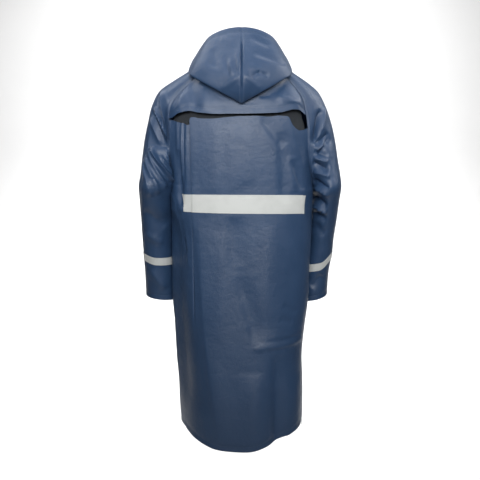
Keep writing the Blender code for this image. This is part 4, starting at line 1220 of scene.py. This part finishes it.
# %% Rings and creases of the hood
Place = namedtuple("Place", "part x y z")
HOOD_RINGS = {
    "under": (
        Place(0.00, 0.014, 0.106, -0.075),
        Place(0.18, 0.060, 0.099, -0.050),
        Place(0.36, 0.104, 0.056, -0.006),
        Place(0.52, 0.114, -0.006, 0.009),
        Place(0.66, 0.104, -0.074, -0.008),
        Place(0.78, 0.078, -0.104, -0.034),
        Place(0.90, 0.036, -0.118, -0.052),
        Place(0.96, 0.012, -0.122, -0.061),
        Place(1.00, 0.000, -0.122, -0.0615),
        Place(1.04, -0.012, -0.122, -0.061),
    ),
    "fold": (
        Place(0.00, 0.014, 0.119, -0.090),
        Place(0.18, 0.072, 0.118, -0.078),
        Place(0.36, 0.122, 0.073, -0.032),
        Place(0.52, 0.136, -0.012, -0.014),
        Place(0.66, 0.137, -0.089, -0.040),
        Place(0.78, 0.100, -0.126, -0.064),
        Place(0.90, 0.045, -0.146, -0.094),
        Place(0.96, 0.015, -0.1435, -0.1100),
        Place(1.00, 0.000, -0.143, -0.1178),
        Place(1.04, -0.015, -0.1435, -0.1100),
    ),
    "outer": (
        Place(0.00, 0.015, 0.124, -0.078),
        Place(0.18, 0.079, 0.119, -0.056),
        Place(0.36, 0.128, 0.068, -0.014),
        Place(0.52, 0.134, -0.012, 0.001),
        Place(0.66, 0.129, -0.076, -0.009),
        Place(0.78, 0.104, -0.112, -0.012),
        Place(0.90, 0.050, -0.145, -0.030),
        Place(0.96, 0.017, -0.162, -0.044),
        Place(1.00, 0.000, -0.166, -0.048),
        Place(1.04, -0.017, -0.162, -0.044),
    ),
    "brim": (
        Place(0.00, 0.016, 0.119, -0.063),
        Place(0.18, 0.076, 0.103, -0.034),
        Place(0.36, 0.118, 0.052, 0.002),
        Place(0.52, 0.123, -0.008, 0.018),
        Place(0.66, 0.107, -0.050, 0.037),
        Place(0.78, 0.082, -0.070, 0.061),
        Place(0.90, 0.037, -0.082, 0.077),
        Place(0.96, 0.012, -0.085, 0.080),
        Place(1.00, 0.000, -0.085, 0.080),
        Place(1.04, -0.012, -0.085, 0.080),
    ),
}
HOOD_CREASES = (
    Crease(0.000, -0.084, 0.000, -0.022, 0.0022, 0.0022, -0.0012),
    Crease(0.000, -0.040, 0.000, 0.042, 0.0026, 0.0022, -0.0056),
    Crease(0.000, 0.034, 0.000, 0.086, 0.0024, 0.0022, -0.0040),
    Crease(0.000, 0.070, 0.000, 0.120, 0.0030, 0.0030, -0.0020),
    Crease(-0.006, -0.044, -0.005, 0.040, 0.0035, 0.0025, 0.0012),
    Crease(0.007, -0.050, 0.005, 0.036, 0.0025, 0.0045, 0.0016),
    Crease(-0.046, -0.004, -0.034, 0.048, 0.004, 0.006, -0.0042),
    Crease(-0.030, 0.008, -0.025, 0.050, 0.005, 0.005, 0.0034),
    Crease(-0.016, -0.014, -0.004, 0.040, 0.004, 0.006, 0.0040),
    Crease(-0.018, 0.012, -0.013, 0.052, 0.004, 0.004, -0.0026),
    Crease(0.030, -0.012, 0.116, 0.018, 0.005, 0.009, -0.0042),
    Crease(0.026, 0.000, 0.080, 0.024, 0.006, 0.006, 0.0016),
    Crease(0.040, 0.038, 0.070, 0.050, 0.005, 0.005, -0.0040),
    Crease(0.014, 0.026, 0.058, 0.040, 0.005, 0.005, 0.0026),
    Crease(0.026, 0.056, 0.048, 0.036, 0.004, 0.006, -0.0034),
    Crease(0.002, 0.046, -0.052, 0.084, 0.005, 0.008, 0.0034),
    Crease(0.002, 0.046, 0.050, 0.084, 0.008, 0.005, 0.0034),
    Crease(-0.075, -0.024, -0.066, 0.030, 0.012, 0.014, -0.0038),
    Crease(-0.090, 0.010, -0.052, 0.034, 0.006, 0.008, -0.0030),
    Crease(-0.056, -0.050, -0.020, -0.034, 0.008, 0.006, 0.0022),
    Crease(0.020, -0.052, 0.074, -0.030, 0.007, 0.009, -0.0030),
)
print({ring: len(places) for ring, places in HOOD_RINGS.items()}, len(HOOD_CREASES), "creases")

# %% [markdown]
# The first ring is the neck seam itself, so the hood starts exactly where the fronts, the sleeves
# and the cape end. `through` draws a soft curve from ring to ring, as a thread under light tension.

# %% Curves of the hood
NECK_PARTS = (0, 0.30, 0.66, 1)
HOOD_WIDTH = {LEFT: 1.00, RIGHT: 0.95}
HOOD_FRONT = 0.010
HOOD_EVEN = 0.4


def neckline(side, part):
    seam = raglan_seam(side, True)[0]
    front_part = np.clip(part / NECK_PARTS[1], 0, 1)
    x = HOOD_FRONT + (abs(seam[0]) - HOOD_FRONT) * front_part
    drop = neck_curve(-seam[2], FRONT_NECK_DROP, x, abs(seam[0]))
    on_front = body(drop, angle_of_width(True, drop, side * x))
    sleeve_part = np.clip((part - NECK_PARTS[1]) / (NECK_PARTS[2] - NECK_PARTS[1]), 0, 1)
    on_sleeve = sleeve(side, 0 * part, 90 - 180 * sleeve_part)
    cape_part = np.clip((part - NECK_PARTS[2]) / (1 - NECK_PARTS[2]), 0, 1)
    drop = raglan_drops(side, False, 0, 0)[0] + 0 * part
    start = seam_angle(side, False, drop) % 360
    on_cape = body(drop, start + (270 - start) * cape_part)
    here = np.where(part[..., None] < NECK_PARTS[1], on_front, on_sleeve)
    return np.where(part[..., None] > NECK_PARTS[2], on_cape, here)


def through(curves, t):
    count = len(curves) - 1
    at = np.clip(t * count, 0, count - 1e-9)
    k = int(at)
    f = at - k
    p0 = curves[max(k - 1, 0)]
    p1, p2 = curves[k], curves[k + 1]
    p3 = curves[min(k + 2, count)]
    return 0.5 * (2 * p1 + (p2 - p0) * f + (2 * p0 - 5 * p1 + 4 * p2 - p3) * f * f
                  + (3 * p1 - p0 - 3 * p2 + p3) * f ** 3)


def hood_curve(side, ring, part):
    x, y, z = (read(HOOD_RINGS[ring], name, part) for name in "xyz")
    x = x * (1 + (HOOD_WIDTH[side] - 1) * ease(part / HOOD_EVEN))
    return np.stack([side * x, y, z], axis=-1)


print("neck seam at the middle of the back:", neckline(LEFT, np.array([1.0]))[0].round(3))

# %% [markdown]
# The rows run from the brim to the neck, and the columns draw together towards the seam in the
# middle, where a dark groove needs more of them. The halves pass each other there by a fifth of a
# millimetre, so that no light comes through, and only the outer side is creased.

# %% The hood
HOOD_COLUMNS, HOOD_ROWS = 110, 120
HOOD_GATHER = 1.4
HOOD_STAND = 0.010
HOOD_FLARE = 1.02
HOOD_TURN = 0.004
HOOD_ROOM = 0.0008
HOOD_SEAM = -0.0002
CRISP_HOOD = 1.5
OUTER_STARTS, OUTER_FULL = 0.66, 0.05
HOOD_BACK_Y = 0.04


def hood_points(side):
    part = 1 - np.linspace(1, 0, HOOD_COLUMNS + 1) ** HOOD_GATHER
    neck = neckline(side, part)
    neck[:, 2] += HOOD_ROOM
    stand = neck * (HOOD_FLARE, HOOD_FLARE, 1) + (0, 0, HOOD_STAND)
    under, fold, outer, brim = (hood_curve(side, ring, part) for ring in HOOD_RINGS)
    turn = (under + stand) / 2 + (0, 0, HOOD_TURN)
    curves = (neck, stand, turn, under, fold, outer, brim)
    way = np.linspace(1, 0, HOOD_ROWS + 1)
    points = np.stack([through(curves, t) for t in way])
    points[:, -1, 0] = side * HOOD_SEAM / 2
    points = points if side == LEFT else points[:, ::-1]
    shown = ease((way[:, None] - OUTER_STARTS) / OUTER_FULL) * (points[..., 1] < HOOD_BACK_Y)
    height = creases(HOOD_CREASES, points[..., 0], -points[..., 2], CRISP_HOOD) * shown
    return lift(points, height)


hood_sheets = {}
for side, word in SIDES:
    hood_sheets[side] = hemmed(hood_points(side), at_last_row=False)
    hood_sheets[side][:, -1 if side == LEFT else 0, 0] = side * HOOD_SEAM / 2
    hood = lay_sheet(f"hood_cloth_{word}", hood_sheets[side], CLOTH, coated)
    dress(hood, "coated_cloth", f"hood_{word}")

# %% [markdown]
# ## Press studs
# Each stud is a thin cap pressed through the left front. It starts as a short cylinder, its top face
# is inset four times to make a rim, a groove and a low dome, and a small bevel softens every edge.
# The studs stand at the heights of their solids, on one straight line, square to the cloth.

# %% The press studs
STUD_COUNT = 6
STUD_RADIUS = 0.0075
STUD_RIM = 0.0014
STUD_STEPS = ((0.0009, 0.0000), (0.0005, -0.0005), (0.0018, 0.0009), (0.0022, 0.0005))
STUD_SIDES = 40
STUD_BEVEL = 0.0002
STUD_SHARP = 35


def press_stud(name, place, facing):
    bpy.ops.object.select_all(action="DESELECT")
    bpy.ops.mesh.primitive_cylinder_add(
        vertices=STUD_SIDES, radius=STUD_RADIUS, depth=STUD_RIM, location=place)
    stud = bpy.context.object
    stud.name = stud.data.name = name
    bpy.ops.object.mode_set(mode="EDIT")
    bpy.ops.mesh.select_mode(type="FACE")
    bpy.ops.mesh.select_all(action="DESELECT")
    bpy.ops.object.mode_set(mode="OBJECT")
    max(stud.data.polygons, key=lambda face: face.center.z).select = True
    bpy.ops.object.mode_set(mode="EDIT")
    for thickness, depth in STUD_STEPS:
        bpy.ops.mesh.inset(thickness=thickness, depth=depth)
    bpy.ops.object.mode_set(mode="OBJECT")
    edges = stud.modifiers.new("soft_edges", "BEVEL")
    edges.width = STUD_BEVEL
    edges.segments = 2
    bpy.ops.object.modifier_apply(modifier="soft_edges")
    bpy.ops.object.shade_smooth_by_angle(angle=np.radians(STUD_SHARP))
    stud.rotation_mode = "QUATERNION"
    stud.rotation_quaternion = facing.to_track_quat("Z", "Y")
    bpy.ops.object.transform_apply(location=True, rotation=True, scale=True)
    stud.data.materials.append(metal_finish)
    return stud


lap = front_sheets[LEFT]
lap_out = normals(lap)
numbers = range(1, STUD_COUNT + 1)
stud_middles = np.array([np.mean(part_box(f"stud_{number}"), axis=0) for number in numbers])
stud_line = stud_middles[:, 0].mean()
for number, (x, y, z) in enumerate(stud_middles, 1):
    row = abs(lap[:, :, 2] - z).mean(axis=1).argmin()
    order = lap[row, :, 0].argsort()
    place = [np.interp(stud_line, lap[row, order, 0], lap[row, order, k]) for k in range(3)]
    facing = Vector(lap_out[row, abs(lap[row, :, 0] - stud_line).argmin()])
    stud = press_stud(f"press_stud_{number}", Vector(place) + facing * STUD_RIM / 2, facing)
    dress(stud, "stud_metal", f"stud_{number}")
print(STUD_COUNT, "studs, face", tuple(round(value, 2) for value in facing))

# %% [markdown]
# ## Stitches
# The coat is topstitched: two rows beside each raglan seam, one on each side of the hood's seam, one
# inside each hem, two down the lap, and one along both edges of every tape. `inset` finds the line
# that runs at a set distance inside one edge of a sheet. Each stitch is a cube drawn out to a grain
# of thread, and all the stitches of one colour are a single mesh, because thousands of objects would
# be slow.

# %% Lines and stitches
STITCH_PITCH = 0.0042
STITCH = (0.0030, 0.00065, 0.0004)
STITCH_TOP = (0.75, 0.5, 1)


def inset(points, edge, distance, first=0, last=None):
    out = normals(points)
    if "row" in edge:
        points, out = points.swapaxes(0, 1), out.swapaxes(0, 1)
    if "last" in edge:
        points, out = points[:, ::-1], out[:, ::-1]
    points, out = points[first:last], out[first:last]
    line = []
    for place, facing in zip(points, out):
        way = np.concatenate([[0], np.cumsum(np.linalg.norm(np.diff(place, axis=0), axis=1))])
        line.append([np.interp(distance, way, values) for values in (*place.T, *facing.T)])
    return np.array(line)


def stitch_corners(line, corners):
    way = np.concatenate([[0], np.cumsum(np.linalg.norm(np.diff(line[:, :3], axis=0), axis=1))])
    places = np.arange(STITCH_PITCH / 2, way[-1] - STITCH_PITCH / 2, STITCH_PITCH)

    def on_line(at, first=0):
        return np.stack([np.interp(at, way, line[:, first + k]) for k in range(3)], axis=-1)

    centre, out = on_line(places), on_line(places, first=3)
    along = unit(on_line(places + STITCH[0] / 2) - on_line(places - STITCH[0] / 2))
    out = unit(out - along * (out * along).sum(axis=-1, keepdims=True))
    beside = np.cross(out, along)
    frames = np.stack([along, beside, out], axis=1)
    return centre[:, None] + corners @ frames + out[:, None] * STITCH[2] / 3


def sew(name, lines, finish):
    bpy.ops.object.select_all(action="DESELECT")
    bpy.ops.mesh.primitive_cube_add(size=1)
    thread = bpy.context.object
    thread.name = thread.data.name = name
    corners = np.array([vertex.co for vertex in thread.data.vertices])
    corners = corners * STITCH * np.where(corners[:, 2:] > 0, STITCH_TOP, 1)
    faces = np.array([face.vertices for face in thread.data.polygons])
    places = np.concatenate([stitch_corners(line, corners) for line in lines])
    starts = len(corners) * np.arange(len(places))[:, None, None]
    thread.data.clear_geometry()
    faces = (faces + starts).reshape(-1, 4)
    thread.data.from_pydata(places.reshape(-1, 3).tolist(), [], faces.tolist())
    thread.data.materials.append(finish)
    print(f"{name}: {len(places)} stitches, {len(places) * 12} triangles")
    return thread


print("a stitch every", STITCH_PITCH * 1000, "mm")

# %% [markdown]
# The lines of stitches are gathered sheet by sheet, in two colours: navy on the seams and hems, and
# silver on the tapes. The raglan seam and the hood's seam are sewn only where they show.

# %% The stitches
TOPSTITCH = (0.0018, 0.0080)
TAPE_STITCH, VENT_STITCH, HOOD_STITCH = 0.0025, 0.007, 0.0060
LAP_STITCH = (0.006, 0.055)
RAGLAN_ROWS = (2, CAPE_ROWS + YOKE_ROWS)
HOOD_SEWN_ROWS = (3, 42)

seam_lines = [
    inset(back_points, "last row", HEM_DEEP),
    inset(back_points, "first row", VENT_STITCH, BACK_KNOTS[2], BACK_KNOTS[3]),
    inset(cape_sheet, "last row", HEM_DEEP),
]
tape_lines = [inset(band_points, edge, TAPE_STITCH) for edge in ("first row", "last row")]
for side, word in SIDES:
    arm, front, half = arm_sheets[side], front_sheets[side], hood_sheets[side]
    tape_sheet = tape_points(arm, TAPE_ROW, FOREARM_ROWS[1])
    middle = "last column" if side == LEFT else "first column"
    for edge in ("first column", "last column"):
        seam_lines += [inset(arm, edge, far, *RAGLAN_ROWS) for far in TOPSTITCH]
    seam_lines += [inset(arm, "last row", HEM_DEEP), inset(front, "last row", HEM_DEEP)]
    seam_lines.append(inset(half, "first row", HEM_DEEP))
    seam_lines.append(inset(half, middle, HOOD_STITCH, *HOOD_SEWN_ROWS))
    tape_lines += [inset(tape_sheet, edge, TAPE_STITCH) for edge in ("first row", "last row")]
free_edge = "first column" if lap[0, 0, 0] > lap[0, -1, 0] else "last column"
seam_lines += [inset(lap, free_edge, far) for far in LAP_STITCH]
dress(sew("seam_stitches", seam_lines, thread_finish), "coated_cloth")
dress(sew("tape_stitches", tape_lines, tape_finish), "reflective_tape")

# %% [markdown]
# ## The sheets of each side
# The sleeve, the front and the hood of each side are looked up by name, now that all are laid.

# %% Looking up the sheets
pieces = bpy.data.objects
for side, word in SIDES:
    arm, front, half = (pieces[f"{name}_cloth_{word}"] for name in ("sleeve", "front", "hood"))

# %% [markdown]
# ## The paper
# The coat hangs in front of a sweep of white paper that curves up behind it, so that no line shows
# between floor and wall. The paper is a fan, just wider than the camera sees: coated cloth is shiny
# enough to mirror a wide white floor in pale bands down its sides.

# %% Paper sweep
FLOOR_Z = -1.46
PAPER_FRONT = -2.2
PAPER_FLAT, PAPER_BEND, PAPER_RISE = 4.2, 1.2, 3.2
PAPER_START, PAPER_WIDENS = 0.01, 0.385
PAPER_WHITES = ((0.86, 0.86, 0.86), (0.90, 0.90, 0.90))


def paper_sweep():
    bpy.ops.object.select_all(action="DESELECT")
    bpy.ops.mesh.primitive_grid_add(x_subdivisions=2, y_subdivisions=60, size=1)
    sweep = bpy.context.object
    sweep.name = "paper_sweep"
    curve = PAPER_BEND * np.pi / 2
    for vertex in sweep.data.vertices:
        along = (vertex.co.y + 0.5) * (PAPER_FLAT + curve + PAPER_RISE)
        angle = np.clip((along - PAPER_FLAT) / PAPER_BEND, 0, np.pi / 2)
        deep = min(along, PAPER_FLAT) + PAPER_BEND * np.sin(angle)
        high = PAPER_BEND * (1 - np.cos(angle)) + max(along - PAPER_FLAT - curve, 0)
        half_width = PAPER_START + PAPER_WIDENS * deep
        vertex.co = (vertex.co.x * 2 * half_width, PAPER_FRONT + deep, FLOOR_Z + high)
    bpy.ops.object.shade_smooth()
    paper = Finish("white_paper", Roughness=0.85)
    grain = paper.noise(paper.place(), scale=3.0)
    paper.set(Base_Color=paper.mix(grain, *PAPER_WHITES))
    sweep.data.materials.append(paper.material)
    return sweep


print("paper", [round(size, 2) for size in paper_sweep().dimensions])

# %% [markdown]
# ## The lights
# Navy cloth shows its folds only through what it mirrors, so the lights are soft boxes with narrow
# beams. The key hangs above the camera and gives the shoulders and the back a broad sheen that fades
# down the skirt. One lamp above picks out the shoulders, one at the left and one at the right turn
# the folds of the sleeves, two from behind line the edges, and a weak low one lifts the skirt. The
# last lights only the paper.

# %% Lights
Lamp = namedtuple("Lamp", "name place aim width height power spread")
LAMPS = (
    Lamp("key", (0.15, -2.6, 0.72), (0, 0, -0.1), 2.0, 0.9, 12.2, 58),
    Lamp("above", (-0.3, -0.9, 1.5), (0, -0.1, -0.05), 1.2, 0.5, 1.1, 60),
    Lamp("left_front", (-1.3, -1.9, 0.5), (-0.08, -0.1, 0.03), 0.6, 0.6, 0.95, 38),
    Lamp("low_front", (0.1, -2.4, -0.4), (0.03, 0, -0.75), 0.3, 0.6, 0.15, 20),
    Lamp("left_edge", (-1.0, 0.2, 0.85), (0, 0, 0.1), 0.5, 0.7, 0.75, 44),
    Lamp("right_edge", (1.2, 0.2, 0.5), (0, 0, -0.15), 0.5, 0.7, 1.4, 60),
    Lamp("right_front", (1.5, -1.8, 1.0), (0, 0, 0), 0.6, 0.6, 1.0, 60),
    Lamp("backdrop", (0, 1.0, 2.2), (0, 2.4, -1.0), 3.0, 1.0, 108, 120),
)
SKY_COLOUR, SKY_STRENGTH = (1.0, 0.98, 0.95, 1), 0.07


def soft_box(lamp):
    light = bpy.data.lights.new(lamp.name, "AREA")
    light.shape = "RECTANGLE"
    light.size, light.size_y = lamp.width, lamp.height
    light.energy = lamp.power
    light.spread = np.radians(lamp.spread)
    stand = bpy.data.objects.new(lamp.name, light)
    bpy.context.scene.collection.objects.link(stand)
    stand.location = lamp.place
    beam = Vector(lamp.aim) - Vector(lamp.place)
    stand.rotation_euler = beam.to_track_quat("-Z", "Y").to_euler()


for lamp in LAMPS:
    soft_box(lamp)
world = bpy.data.worlds.new("studio")
bpy.context.scene.world = world
world.use_nodes = True
sky = world.node_tree.nodes["Background"].inputs
sky["Color"].default_value = SKY_COLOUR
sky["Strength"].default_value = SKY_STRENGTH
bpy.context.scene.view_settings.view_transform = "Standard"
print(len(LAMPS), "lamps,", round(sum(lamp.power for lamp in LAMPS[:-1]), 1), "W on the coat")

# %% [markdown]
# ## The camera
# It stands 1.8 m behind the coat, a little under the shoulder blades, and looks down by nine
# degrees, so the round hem is seen from above and the hood a little from below. The opening angle
# follows from the focal length, which is given in pixels of the finished image.

# %% Camera
CAMERA_PLACE = (-0.0043, -1.80, -0.21)
CAMERA_TILT = 9.0
FOCAL_PIXELS = 633.0
IMAGE_PIXELS = 480

bpy.ops.object.camera_add(location=CAMERA_PLACE, rotation=(np.radians(90 - CAMERA_TILT), 0, 0))
camera = bpy.context.object
camera.data.sensor_fit = "HORIZONTAL"
camera.data.angle = 2 * np.arctan(IMAGE_PIXELS / 2 / FOCAL_PIXELS)
bpy.context.scene.camera = camera
print("the camera sees", round(np.degrees(camera.data.angle), 1), "degrees")

# %% [markdown]
# ## Sizes
# The box round the dressed coat should stay within a few millimetres of the plain one.
